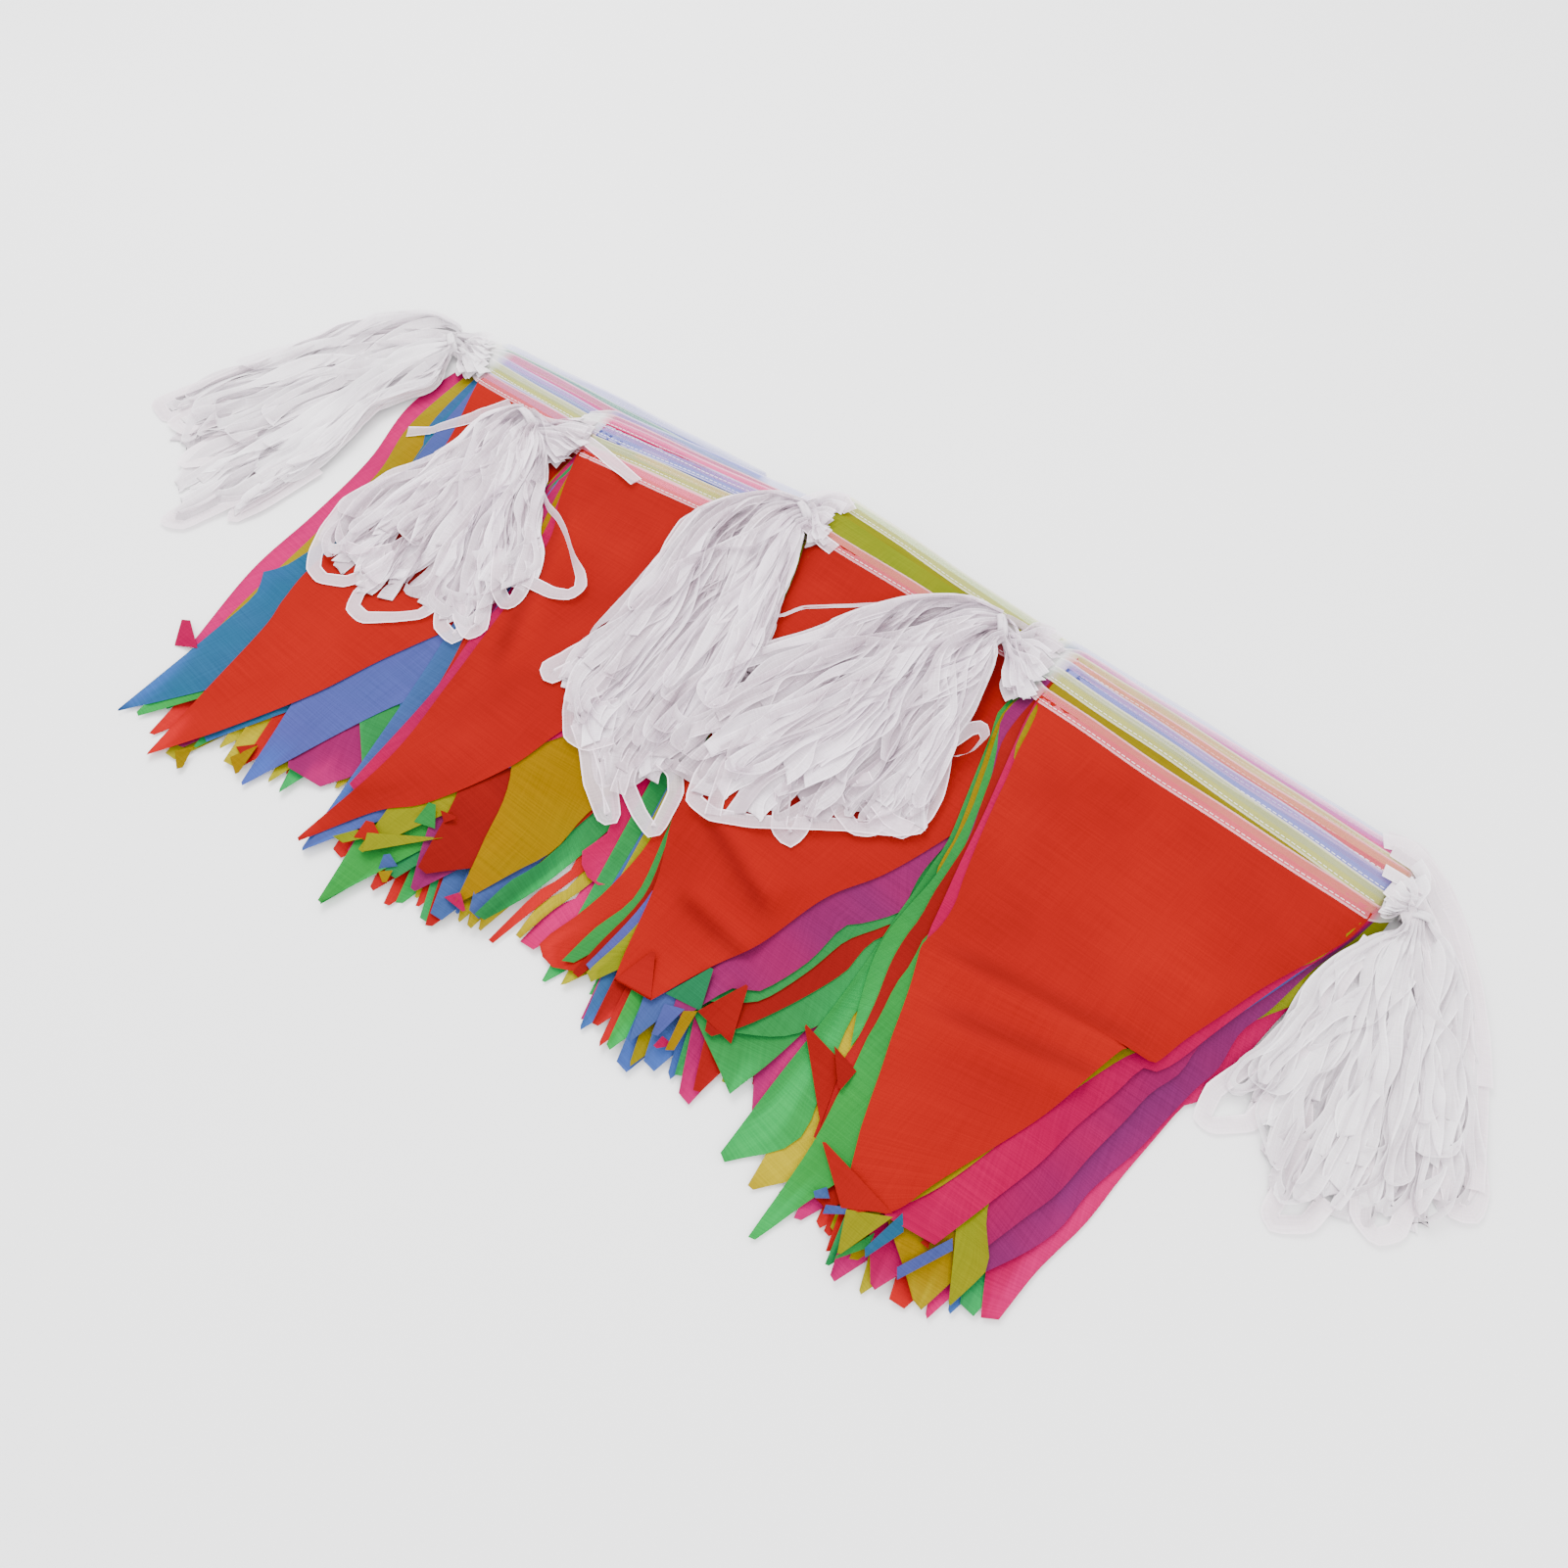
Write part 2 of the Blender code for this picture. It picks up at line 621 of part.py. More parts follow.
def side_directions(axis):
    """Unit plan directions across a path, to the left of its way."""
    way = np.gradient(axis, axis=0)
    way /= np.linalg.norm(way, axis=1, keepdims=True)
    return np.stack([-way[:, 1], way[:, 0]], axis=1)


def hank_body(relief, sections):
    """Surface points, heights above it and neck row of a hank's spread body."""
    rows = smooth_path([section[1:] for section in sections], HANK_ROWS)
    axis, half_width, thickness = rows[:, :2], rows[:, 2], rows[:, 3]
    across = side_directions(axis)
    w = np.linspace(-1, 1, HANK_COLUMNS)
    plan = axis[:, None] + across[:, None] * (half_width[:, None] * w)[..., None]
    neck_row = round((HANK_ROWS - 1) / (len(sections) - 1))
    z = draped(relief, plan[..., 0], plan[..., 1], LAYER_GAP)
    neck = slice(neck_row - 1, neck_row + 2)
    under_tie = relief.highest_near(axis[neck_row], half_width[neck_row] + TIE_WIDTH)
    z[neck] = np.maximum(z[neck], under_tie + NECK_LIFT)
    crown = np.sqrt(1 - 0.75 * w**2)
    furrows = 1 - HANK_FURROW * np.cos(pi * HANK_STRANDS * w) ** 2
    height = np.maximum(thickness[:, None] * crown * furrows, HANK_RIM)
    return np.dstack([plan, z]), height, neck_row


def closed_slab(surface, height):
    """Points and faces of the solid between a grid of points and the same grid raised."""
    rows, columns = height.shape
    upper = surface.copy()
    upper[..., 2] += height
    points = np.concatenate([surface.reshape(-1, 3), upper.reshape(-1, 3)])
    bottom = grid_triangles(rows, columns)
    count = rows * columns
    index = np.arange(count).reshape(rows, columns)
    rim = np.concatenate([index[0, :-1], index[:-1, -1], index[-1, :0:-1], index[:0:-1, 0]])
    following = np.roll(rim, -1)
    walls = np.concatenate(
        [
            np.stack([rim, following, following + count], -1),
            np.stack([rim, following + count, rim + count], -1),
        ]
    )
    return points, np.concatenate([bottom[:, ::-1], bottom + count, walls[:, ::-1]])


def loop_ribbon(relief, loop, axis_point, lift):
    """A flat tape that leaves the body, turns round and comes back into it."""
    end = np.array([loop.end_x, loop.end_y])
    root = axis_point + (end - axis_point) * 0.15
    way = end - root
    length = np.linalg.norm(way)
    way /= length
    side = np.array([-way[1], way[0]])
    bend = (loop.width - LOOP_WIDTH) / 2
    straight = length - LOOP_WIDTH / 2 - bend
    angles = np.linspace(0, pi, LOOP_STEPS - 4)
    out = np.concatenate([[0, straight / 2], straight + bend * np.sin(angles), [straight / 2, 0]])
    swing = np.concatenate([[bend, bend], bend * np.cos(angles), [-bend, -bend]])
    middle = root + np.outer(out, way) + np.outer(swing, side)
    across = side_directions(middle) * LOOP_WIDTH / 2
    plan = np.stack([middle + across, middle - across])
    z = draped(relief, plan[..., 0], plan[..., 1], LAYER_GAP) + lift
    return np.dstack([plan, z])


def add_hank(relief, name, collection, helpers):
    """One hank: its gathered neck, its spread body and the loops at its end, fused into one solid, and its tie."""
    sections = [section for section in SECTIONS if section.hank == name]
    surface, height, neck_row = hank_body(relief, sections)
    points, faces = closed_slab(surface, height)
    body = new_object(f"hank_{name}", points, faces, "tape", collection)
    anchor = surface[-4, HANK_COLUMNS // 2, :2]
    strands = bpy.data.collections.new(f"loops_{name}")
    helpers.children.link(strands)
    for number, loop in enumerate(loop for loop in LOOPS if loop.hank == name):
        ribbon = loop_ribbon(relief, loop, anchor, LOOP_LIFT + number * LOOP_STAGGER)
        triangles = grid_triangles(*ribbon.shape[:2])
        strand = new_object(f"loop_{name}_{number + 1}", ribbon.reshape(-1, 3), triangles, "tape", strands)
        thicken(strand, TAPE_THICKNESS, 1)
    unite(body, strands, "loops")
    add_tie(name, surface, height, neck_row, collection)
    relief.lay(body)


def neck_reach(surface, height, neck_row):
    """Middle and cross direction of a neck, with the widest half-width, the lowest and highest z under the tie."""
    left, right = surface[neck_row, 0, :2], surface[neck_row, -1, :2]
    centre = (left + right) / 2
    across = (right - left) / np.linalg.norm(right - left)
    way = np.array([-across[1], across[0]])
    reaches = []
    for beside in (neck_row - 1, neck_row + 1):
        spacing = abs((surface[beside, :, :2] - surface[neck_row, :, :2]) @ way).min()
        share = min((TIE_WIDTH / 2 + TIE_CLEARANCE) / spacing, 1)
        under = surface[neck_row] * (1 - share) + surface[beside] * share
        over = under[:, 2] + height[neck_row] * (1 - share) + height[beside] * share
        wide = abs((under[:, :2] - centre) @ across).max()
        reaches.append((wide, -under[:, 2].min(), over.max()))
    neck = (np.linalg.norm(right - left) / 2, -surface[neck_row, :, 2].min(), height[neck_row].max())
    half_width, depth, top = np.max([*reaches, neck], axis=0)
    return centre, across, half_width, -depth, top


def add_tie(name, surface, height, neck_row, collection):
    """A closed band round the neck of a hank."""
    centre, across, half_width, low, high = neck_reach(surface, height, neck_row)
    low -= TIE_CLEARANCE
    high += TIE_CLEARANCE
    way = np.array([-across[1], across[0]])
    angles = 2 * pi * np.arange(TIE_SIDES) / TIE_SIDES
    reach = 1 / np.maximum(abs(np.cos(angles)), abs(np.sin(angles)))
    reach = np.where(np.sin(angles) < -0.01, reach, np.minimum(reach, TIE_ROUNDING))
    wide = (half_width + TIE_CLEARANCE) * np.cos(angles) * reach
    tall = (low + high) / 2 + (high - low) / 2 * np.sin(angles) * reach
    rings = [
        np.column_stack([centre + np.outer(wide, across) + way * shift, tall])
        for shift in (-TIE_WIDTH / 2, TIE_WIDTH / 2)
    ]
    points = np.concatenate(rings)
    first = np.arange(TIE_SIDES)
    following = np.roll(first, -1)
    faces = np.stack([first, following, following + TIE_SIDES, first + TIE_SIDES], -1)
    tie = new_object(f"tie_{name}", points, faces, "tie", collection)
    thicken(tie, TIE_THICKNESS, 1 if outward(points, faces) else -1)


def outward(points, faces):
    """Whether a ring's faces look away from its middle."""
    corners = points[faces[0]]
    normal = np.cross(corners[1] - corners[0], corners[2] - corners[0])
    return normal @ (corners.mean(axis=0) - points.mean(axis=0)) > 0


def centre_on_footprint(pieces):
    """Moves every mesh so that the middle of the footprint is the origin."""
    bpy.context.view_layer.update()
    graph = bpy.context.evaluated_depsgraph_get()
    corners = np.concatenate([np.array(piece.evaluated_get(graph).bound_box) for piece in pieces])
    middle = (corners.min(axis=0) + corners.max(axis=0)) / 2
    for mesh in {piece.data for piece in bpy.data.objects if piece.type == "MESH"}:
        for vertex in mesh.vertices:
            vertex.co.x -= middle[0]
            vertex.co.y -= middle[1]


def main():
    for piece in list(bpy.data.objects):
        bpy.data.objects.remove(piece)
    bunting = bpy.data.collections.new("fabric_bunting")
    helpers = bpy.data.collections.new("cutters")
    for collection in (bunting, helpers):
        bpy.context.scene.collection.children.link(collection)
    relief = Relief()
    form = Form()
    for stack in STACKS:
        already = set(bunting.objects)
        layout = add_stack(stack, form, bunting, helpers)
        form = Form(form, layout)
        bpy.context.view_layer.update()
        for piece in set(bunting.objects) - already:
            relief.lay(piece)
        if stack.name == "third":
            add_loose_end(relief, stack, bunting)
            relief.lay(bunting.objects["loose_tape_end"])
        for name in HANKS_AFTER[stack.name]:
            add_hank(relief, name, bunting, helpers)
    centre_on_footprint(bunting.objects)


main()
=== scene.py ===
"""Fabric bunting, gathered up for storage.

Four stacks of thin cloth pennants lie shingled along one line, each pennant bound to a folded white tape.
The slack tape between the pennants is gathered into five hanks of flat loops, each tied off at the end of a
stack.

Sizes are in metres, but for the tables of the plan, which are in mm. The plan has X along the headings and
the tips towards -Y. plan_shift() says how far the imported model's frame lies from it.
"""

from __future__ import annotations

import logging
import math
from dataclasses import dataclass, field
from enum import Enum
from typing import Any, Callable, Sequence

import bpy
import numpy as np
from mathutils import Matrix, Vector

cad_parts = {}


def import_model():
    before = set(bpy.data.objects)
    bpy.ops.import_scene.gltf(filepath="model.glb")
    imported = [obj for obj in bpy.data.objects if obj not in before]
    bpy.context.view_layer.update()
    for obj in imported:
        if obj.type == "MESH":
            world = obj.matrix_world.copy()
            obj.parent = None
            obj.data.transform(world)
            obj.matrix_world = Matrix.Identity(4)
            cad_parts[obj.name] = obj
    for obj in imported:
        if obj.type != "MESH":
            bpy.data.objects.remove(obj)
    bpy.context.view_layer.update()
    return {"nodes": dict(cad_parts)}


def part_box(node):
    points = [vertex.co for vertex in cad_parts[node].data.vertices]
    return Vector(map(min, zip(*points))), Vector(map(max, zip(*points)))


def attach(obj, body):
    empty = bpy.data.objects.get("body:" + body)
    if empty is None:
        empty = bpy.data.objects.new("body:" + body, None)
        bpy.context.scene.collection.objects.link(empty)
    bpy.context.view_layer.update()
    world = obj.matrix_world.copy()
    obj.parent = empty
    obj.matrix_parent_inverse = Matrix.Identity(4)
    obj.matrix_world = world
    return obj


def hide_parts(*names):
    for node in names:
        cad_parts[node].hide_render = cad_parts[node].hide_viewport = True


LOG = logging.getLogger("bunting")
MM = 0.001
TURN = 2 * math.pi

# A pennant and the tape, laid flat
PENNANT_WIDTH, PENNANT_LENGTH, PENNANT_AREA = 0.2, 0.28, 0.028
TAPE_WIDTH = 10 * MM

# Where the photograph was taken from, in the plan
EYE = np.array((0.2421, -0.2885, 0.5837))

Point = tuple[float, float]
Line = tuple[Point, ...]
Tint = tuple[float, float, float]
Colour = tuple[float, float, float, float]


class Cloth(Enum):
    """The five colours of the pennants."""

    RED = "red"
    YELLOW = "yellow"
    BLUE = "blue"
    MAGENTA = "magenta"
    GREEN = "green"

    @property
    def slot(self) -> str:
        """The record's material slot for this colour."""
        return f"{self.value}_cloth"


R, Y, B, M, G = Cloth


# ---------------------------------------------------------------- curves and small maths


def smooth_step(share: np.ndarray) -> np.ndarray:
    """0 below 0, 1 above 1, and a soft rise between."""
    share = np.clip(share, 0.0, 1.0)
    return share * share * (3 - 2 * share)


def bell(offset: np.ndarray, width: np.ndarray | float) -> np.ndarray:
    """1 at no offset, and a soft fall to nothing on both sides."""
    return np.exp(-((offset / width) ** 2))


def steps_between(points: np.ndarray) -> np.ndarray:
    """The distance from each point of a line to the next."""
    return np.linalg.norm(np.diff(points, axis=0), axis=1)


def travelled(points: np.ndarray) -> np.ndarray:
    """How far along a line each of its points lies."""
    return np.concatenate([[0], np.cumsum(steps_between(points))])


def spaced(points: np.ndarray, count: int) -> np.ndarray:
    """Points evenly spaced along straight lines through others."""
    along = travelled(points)
    wanted = np.linspace(0, along[-1], count)
    return np.column_stack([np.interp(wanted, along, column) for column in points.T])


def smooth_curve(knots: Sequence[Point] | np.ndarray, count: int) -> np.ndarray:
    """Points evenly spaced along a smooth curve through knots.

    Args:
        knots: The points that the curve passes through.
        count: How many points to return.

    Returns:
        An array of count rows.
    """
    knots = np.asarray(knots, float)
    padded = np.vstack([2 * knots[0] - knots[1], knots, 2 * knots[-1] - knots[-2]])
    spots = np.linspace(0, len(knots) - 1, 12 * len(knots))
    first = np.minimum(spots.astype(int), len(knots) - 2)
    t = (spots - first)[:, None]
    a, b, c, d = (padded[first + k] for k in range(4))
    dense = 0.5 * (2 * b + (c - a) * t + (2 * a - 5 * b + 4 * c - d) * t**2 + (3 * b - a - 3 * c + d) * t**3)
    return spaced(dense, count)


def bent_line(knots: np.ndarray, step: float) -> np.ndarray:
    """Points about a step apart along a line through knots, whose corners stay rather square."""
    squareness = 0.75
    count = max(int(travelled(knots)[-1] / step), 8)
    return spaced(knots, count) * squareness + smooth_curve(knots, count) * (1 - squareness)


def sideways(path: np.ndarray) -> np.ndarray:
    """Unit plan directions across a path, to the left of its way."""
    way = np.gradient(path[:, :2], axis=0)
    way /= np.maximum(np.linalg.norm(way, axis=1, keepdims=True), 1e-9)
    return np.stack([-way[:, 1], way[:, 0]], axis=1)


def unit(angle: float) -> np.ndarray:
    """The plan direction at an angle in degrees from +X."""
    return np.array([math.cos(math.radians(angle)), math.sin(math.radians(angle))])


def mirrored(spots: np.ndarray, first: np.ndarray, second: np.ndarray) -> np.ndarray:
    """Plan points turned over the line through two others."""
    way = (second - first) / np.linalg.norm(second - first)
    offset = spots - first
    along = (offset @ way)[..., None] * way
    return first + 2 * along - offset


def between(grid: np.ndarray, column: np.ndarray, row: np.ndarray) -> np.ndarray:
    """The values or points of a grid at places between its own."""
    c = np.minimum(column.astype(int), grid.shape[0] - 2)
    r = np.minimum(row.astype(int), grid.shape[1] - 2)
    s, t = column - c, row - r
    if grid.ndim == 3:
        s, t = s[..., None], t[..., None]
    near = grid[c, r] * (1 - s) + grid[c + 1, r] * s
    far = grid[c, r + 1] * (1 - s) + grid[c + 1, r + 1] * s
    return near * (1 - t) + far * t


def blurred(values: np.ndarray, passes: int) -> np.ndarray:
    """An array softened a number of times along both axes."""
    for _ in range(passes):
        for axis in (0, 1):
            values = (np.roll(values, 1, axis) + 2 * values + np.roll(values, -1, axis)) / 4
    return values


def softened(values: np.ndarray) -> np.ndarray:
    """A row of numbers, each one eased towards those near it."""
    return np.convolve(np.pad(values, 2, mode="edge"), np.array([1, 2, 3, 2, 1]) / 9, "valid")


def sighted(plan: np.ndarray, height: np.ndarray, plane: float = 0.0) -> np.ndarray:
    """Moves plan points, seen at the height of a plane, along their lines of sight to their own height."""
    return plan + (EYE[:2] - plan) * ((height - plane) / (EYE[2] - plane))[..., None]


# ---------------------------------------------------------------- the relief that cloth is laid on


class HeightMap:
    """Height over the floor of all that has been laid, on a square grid over the plan."""

    CELL = 1.5 * MM
    CORNER = (-0.56, -0.27)
    CELLS = (670, 350)
    RIM = 0.02
    MARGIN = 12
    SHINE = 1.1 * MM

    def __init__(self) -> None:
        """An empty floor under the whole bunting."""
        self.low = np.array(self.CORNER)
        self.height = np.zeros(self.CELLS)
        high = self.low + np.array(self.CELLS) * self.CELL
        self.limits = [(low + self.RIM, high - self.RIM) for low, high in zip(self.low, high)]

    def cells(self, points: np.ndarray) -> np.ndarray:
        """The column and row of the cell under each point."""
        return ((points[..., :2] - self.low) / self.CELL).astype(int)

    def window(self, x: np.ndarray, y: np.ndarray) -> tuple[slice, slice]:
        """The cells around some points, with a margin."""
        first = np.maximum(self.cells(np.array([x.min(), y.min()])) - self.MARGIN, 0)
        last = self.cells(np.array([x.max(), y.max()])) + self.MARGIN
        return slice(first[0], last[0]), slice(first[1], last[1])

    def draped(self, x: np.ndarray, y: np.ndarray, softness: int) -> np.ndarray:
        """Heights at points of a smooth surface that lies on everything below.

        Args:
            x: Plan coordinates of the points.
            y: Plan coordinates of the points.
            softness: How widely the surface bridges steps; higher is stiffer.

        Returns:
            A height for each point.
        """
        x = np.clip(x, *self.limits[0])
        y = np.clip(y, *self.limits[1])
        window = self.window(x, y)
        ground = surface = self.height[window]
        for _ in range(3):
            surface = np.maximum(ground, blurred(surface, softness))
        surface = blurred(surface, 2)
        column = (x - self.low[0]) / self.CELL - window[0].start - 0.5
        row = (y - self.low[1]) / self.CELL - window[1].start - 0.5
        last_column, last_row = (size - 1.001 for size in surface.shape)
        return between(surface, np.clip(column, 0, last_column), np.clip(row, 0, last_row))

    def light(self, points: np.ndarray) -> np.ndarray:
        """How freely the floor shines through at points not yet pressed in: 1 where nothing lies below."""
        cells = self.cells(points)
        return np.exp(-self.height[cells[..., 0], cells[..., 1]] / self.SHINE)

    def press(self, points: np.ndarray) -> None:
        """Raises the map to a surface, given as a grid of points."""
        a, b, c, d = points[:-1, :-1], points[:-1, 1:], points[1:, 1:], points[1:, :-1]
        longest = max(np.linalg.norm(side - a, axis=-1).max() for side in (b, d))
        steps = int(np.clip(math.ceil(longest / (0.8 * self.CELL)), 1, 12))
        share = (np.arange(steps) + 0.5) / steps
        s, t = (part.ravel()[:, None, None, None] for part in np.meshgrid(share, share))
        spots = (a * (1 - s) + b * s) * (1 - t) + (d * (1 - s) + c * s) * t
        cells = self.cells(spots).reshape(-1, 2)
        np.maximum.at(self.height, (cells[:, 0], cells[:, 1]), spots[..., 2].ravel())


# ---------------------------------------------------------------- meshes


def placed(name: str, data: Any) -> bpy.types.Object:
    """A new object of the scene, at the origin."""
    thing = bpy.data.objects.new(name, data)
    bpy.context.scene.collection.objects.link(thing)
    return thing


@dataclass
class Patch:
    """A grid of points with its flat coordinates in metres, its tone, its light from 0 to 1 and its tint."""

    points: np.ndarray
    flat: np.ndarray
    tone: np.ndarray | float = 0.5
    light: np.ndarray | float = 0.0
    tint: np.ndarray | Tint = (1.0, 1.0, 1.0)

    def spread(self, values: np.ndarray | float) -> np.ndarray:
        """A value for each point."""
        return np.broadcast_to(values, self.points.shape[:2]).ravel()

    def colours(self) -> np.ndarray:
        """The tint of each point, with full alpha."""
        size = self.points.shape[:2]
        return np.concatenate([np.broadcast_to(self.tint, (*size, 3)), np.ones((*size, 1))], axis=-1).ravel()


@dataclass
class Fabric:
    """Patches gathered into one mesh."""

    name: str
    patches: list[Patch] = field(default_factory=list)

    def add(self, patch: Patch) -> None:
        """Adds a patch."""
        self.patches.append(patch)

    def faces(self, closed: bool) -> list[list[int]]:
        """The corners of every face, as numbers of points."""
        faces, start = [], 0
        for patch in self.patches:
            rows, columns = patch.points.shape[:2]
            index = start + np.arange(rows * columns).reshape(rows, columns)
            right = np.roll(index, -1, axis=1) if closed else index[:, 1:]
            left = index if closed else index[:, :-1]
            quads = np.stack([left[:-1], left[1:], right[1:], right[:-1]], axis=-1)
            faces.extend(quads.reshape(-1, 4).tolist())
            if closed:
                faces.extend([index[0].tolist(), index[-1][::-1].tolist()])
            start += rows * columns
        return faces

    def build(
        self, shift: np.ndarray, material: bpy.types.Material, closed: bool = False
    ) -> bpy.types.Object:
        """Makes the object.

        Args:
            shift: Added to every point.
            material: The finish.
            closed: Whether the columns of each grid meet round a tube, whose ends are closed too.

        Returns:
            The object, at the origin, unturned.
        """
        mesh = bpy.data.meshes.new(self.name)
        points = np.concatenate([patch.points.reshape(-1, 3) for patch in self.patches])
        mesh.from_pydata((points + shift).tolist(), [], self.faces(closed))
        flat = np.concatenate([patch.flat.reshape(-1, 2) for patch in self.patches])
        corners = np.empty(len(mesh.loops), int)
        mesh.loops.foreach_get("vertex_index", corners)
        mesh.uv_layers.new(name="cloth").data.foreach_set("uv", flat[corners].ravel())
        for name, kind, key, own in (
            ("tone", "FLOAT", "value", lambda patch: patch.spread(patch.tone)),
            ("light", "FLOAT", "value", lambda patch: patch.spread(patch.light)),
            ("tint", "FLOAT_COLOR", "color", Patch.colours),
        ):
            values = np.concatenate([own(patch) for patch in self.patches])
            mesh.attributes.new(name, kind, "POINT").data.foreach_set(key, values)
        mesh.materials.append(material)
        mesh.shade_smooth()
        mesh.update()
        return placed(self.name, mesh)


# ---------------------------------------------------------------- node graphs


def operator(operation: str, swapped: bool = False) -> Callable[..., Value]:
    """A method of Value that makes a Math node of it and, where there is one, of another term."""

    def method(self: Value, *others: Any) -> Value:
        """The result of the Math node."""
        terms = (*others, self) if swapped else (self, *others)
        return self.graph.value("ShaderNodeMath", dict(enumerate(terms)), operation=operation)

    return method


class Value:
    """A socket that takes part in Python expressions."""

    def __init__(self, graph: Graph, socket: bpy.types.NodeSocket) -> None:
        """Wraps a socket of a graph."""
        self.graph = graph
        self.socket = socket

    __add__, __radd__ = operator("ADD"), operator("ADD", True)
    __sub__, __rsub__ = operator("SUBTRACT"), operator("SUBTRACT", True)
    __mul__, __rmul__ = operator("MULTIPLY"), operator("MULTIPLY", True)
    __truediv__ = operator("DIVIDE")
    sine, magnitude = operator("SINE"), operator("ABSOLUTE")

    def clamped(self) -> Value:
        """The value kept from 0 to 1."""
        return self.graph.value("ShaderNodeClamp", {0: self, 1: 0.0, 2: 1.0})


class Graph:
    """The nodes of one tree."""

    def __init__(self, tree: bpy.types.NodeTree) -> None:
        """Takes a tree."""
        self.tree = tree

    def node(self, kind: str, inputs: dict[Any, Any], **settings: Any) -> bpy.types.Node:
        """Adds a node.

        Args:
            kind: The node's type.
            inputs: Values or links for its input sockets, by name or number.
            **settings: Its own settings, set first.

        Returns:
            The node.
        """
        node = self.tree.nodes.new(kind)
        for key, setting in settings.items():
            setattr(node, key, setting)
        for key, term in inputs.items():
            self.feed(node, key, term)
        return node

    def feed(self, node: bpy.types.Node, key: Any, term: Any) -> None:
        """Links a value to an input socket, or sets a constant on it."""
        if isinstance(term, Value):
            self.tree.links.new(term.socket, node.inputs[key])
        else:
            node.inputs[key].default_value = term

    def value(self, kind: str, inputs: dict[Any, Any], output: Any = 0, **settings: Any) -> Value:
        """An output of a new node."""
        return Value(self, self.node(kind, inputs, **settings).outputs[output])


class Surface(Graph):
    """The nodes of one material."""

    def __init__(self, name: str) -> None:
        """A new material with a Principled shader."""
        self.material = bpy.data.materials.new(name)
        self.material.use_nodes = True
        super().__init__(self.material.node_tree)
        self.shader = self.tree.nodes["Principled BSDF"]

    def cloth_coordinates(self) -> tuple[Value, Value]:
        """Flat coordinates of the cloth, in metres: along its first and second directions."""
        uv = self.value("ShaderNodeUVMap", {}, uv_map="cloth")
        split = self.node("ShaderNodeSeparateXYZ", {0: uv})
        return Value(self, split.outputs[0]), Value(self, split.outputs[1])

    def noise(self, x: Value, y: Value, detail: float = 2.0) -> Value:
        """Noise from 0 to 1 over two coordinates that are already scaled."""
        vector = self.value("ShaderNodeCombineXYZ", {0: x, 1: y})
        return self.value("ShaderNodeTexNoise", {"Vector": vector, "Scale": 1.0, "Detail": detail})

    def blend(self, share: Value, first: Any, second: Any) -> Value:
        """A colour between two."""
        return self.value("ShaderNodeMix", {0: share, 6: first, 7: second}, 2, data_type="RGBA")

    def attribute(self, name: str, output: str = "Fac") -> Value:
        """One of the mesh's own attributes: its tone, its light or its tint."""
        return self.value("ShaderNodeAttribute", {}, output, attribute_name=name)

    def finish(self, bump: tuple[Value, float] | None = None, **sockets: Any) -> bpy.types.Material:
        """Sets the shader's inputs, whose names have _ for a space, and gives the material."""
        for name, term in sockets.items():
            self.feed(self.shader, name.replace("_", " "), term)
        if bump:
            height, distance = bump
            inputs = {"Strength": 0.5, "Distance": distance, "Height": height}
            self.feed(self.shader, "Normal", self.value("ShaderNodeBump", inputs))
        return self.material


def rgb(red: float, green: float, blue: float) -> Colour:
    """A linear colour with full alpha."""
    return red, green, blue, 1.0


@dataclass(frozen=True)
class PennantFinish:
    """Thin plain-woven cloth, with uneven threads both ways.

    Its hue varies from piece to piece between cool and warm, is darker or lighter with the painted shade of
    ripples and creases that its tone holds, and is painted glow where the pale floor would shine through.
    warp and weft are how fast the threads change along the cloth's first and second directions.
    """

    cloth: Cloth
    cool: Colour
    warm: Colour
    glow: Colour
    slub: float = 0.8
    warp: Point = (1300.0, 30.0)
    weft: Point = (26.0, 1500.0)
    clouds: float = 16.0
    weave: float = 8400.0
    relief: float = 0.22 * MM

    def build(self) -> bpy.types.Material:
        """Makes the material."""
        graph = Surface(self.cloth.slot)
        across, along = graph.cloth_coordinates()
        warp = graph.noise(across * self.warp[0], along * self.warp[1], 1.0)
        weft = graph.noise(across * self.weft[0], along * self.weft[1], 1.0)
        cloudy = graph.noise(across * self.clouds, along * self.clouds)
        weave = (across * self.weave).sine() * (along * self.weave).sine()
        threads = ((warp - 0.5) * 0.6 + (weft - 0.5)) * self.slub
        # The tone holds the painted shade of ripples and creases, which makes the hue darker or lighter.
        hue = graph.blend((graph.attribute("tone") + (cloudy - 0.5) * 0.3).clamped(), self.cool, self.warm)
        # Painted light: where the floor would shine through the thin cloth, the colour is blended towards glow.
        hue = graph.blend((graph.attribute("light") * 0.5).clamped(), hue, self.glow)
        factor = 0.95 + threads * 0.55 + (cloudy - 0.5) * 0.25
        return graph.finish(
            (weave * 0.35 + threads, self.relief),
            Base_Color=graph.value("ShaderNodeVectorMath", {0: hue, 3: factor}, operation="SCALE"),
            Roughness=0.50 + cloudy * 0.16 + weave * 0.03,
            Specular_IOR_Level=0.0,
        )


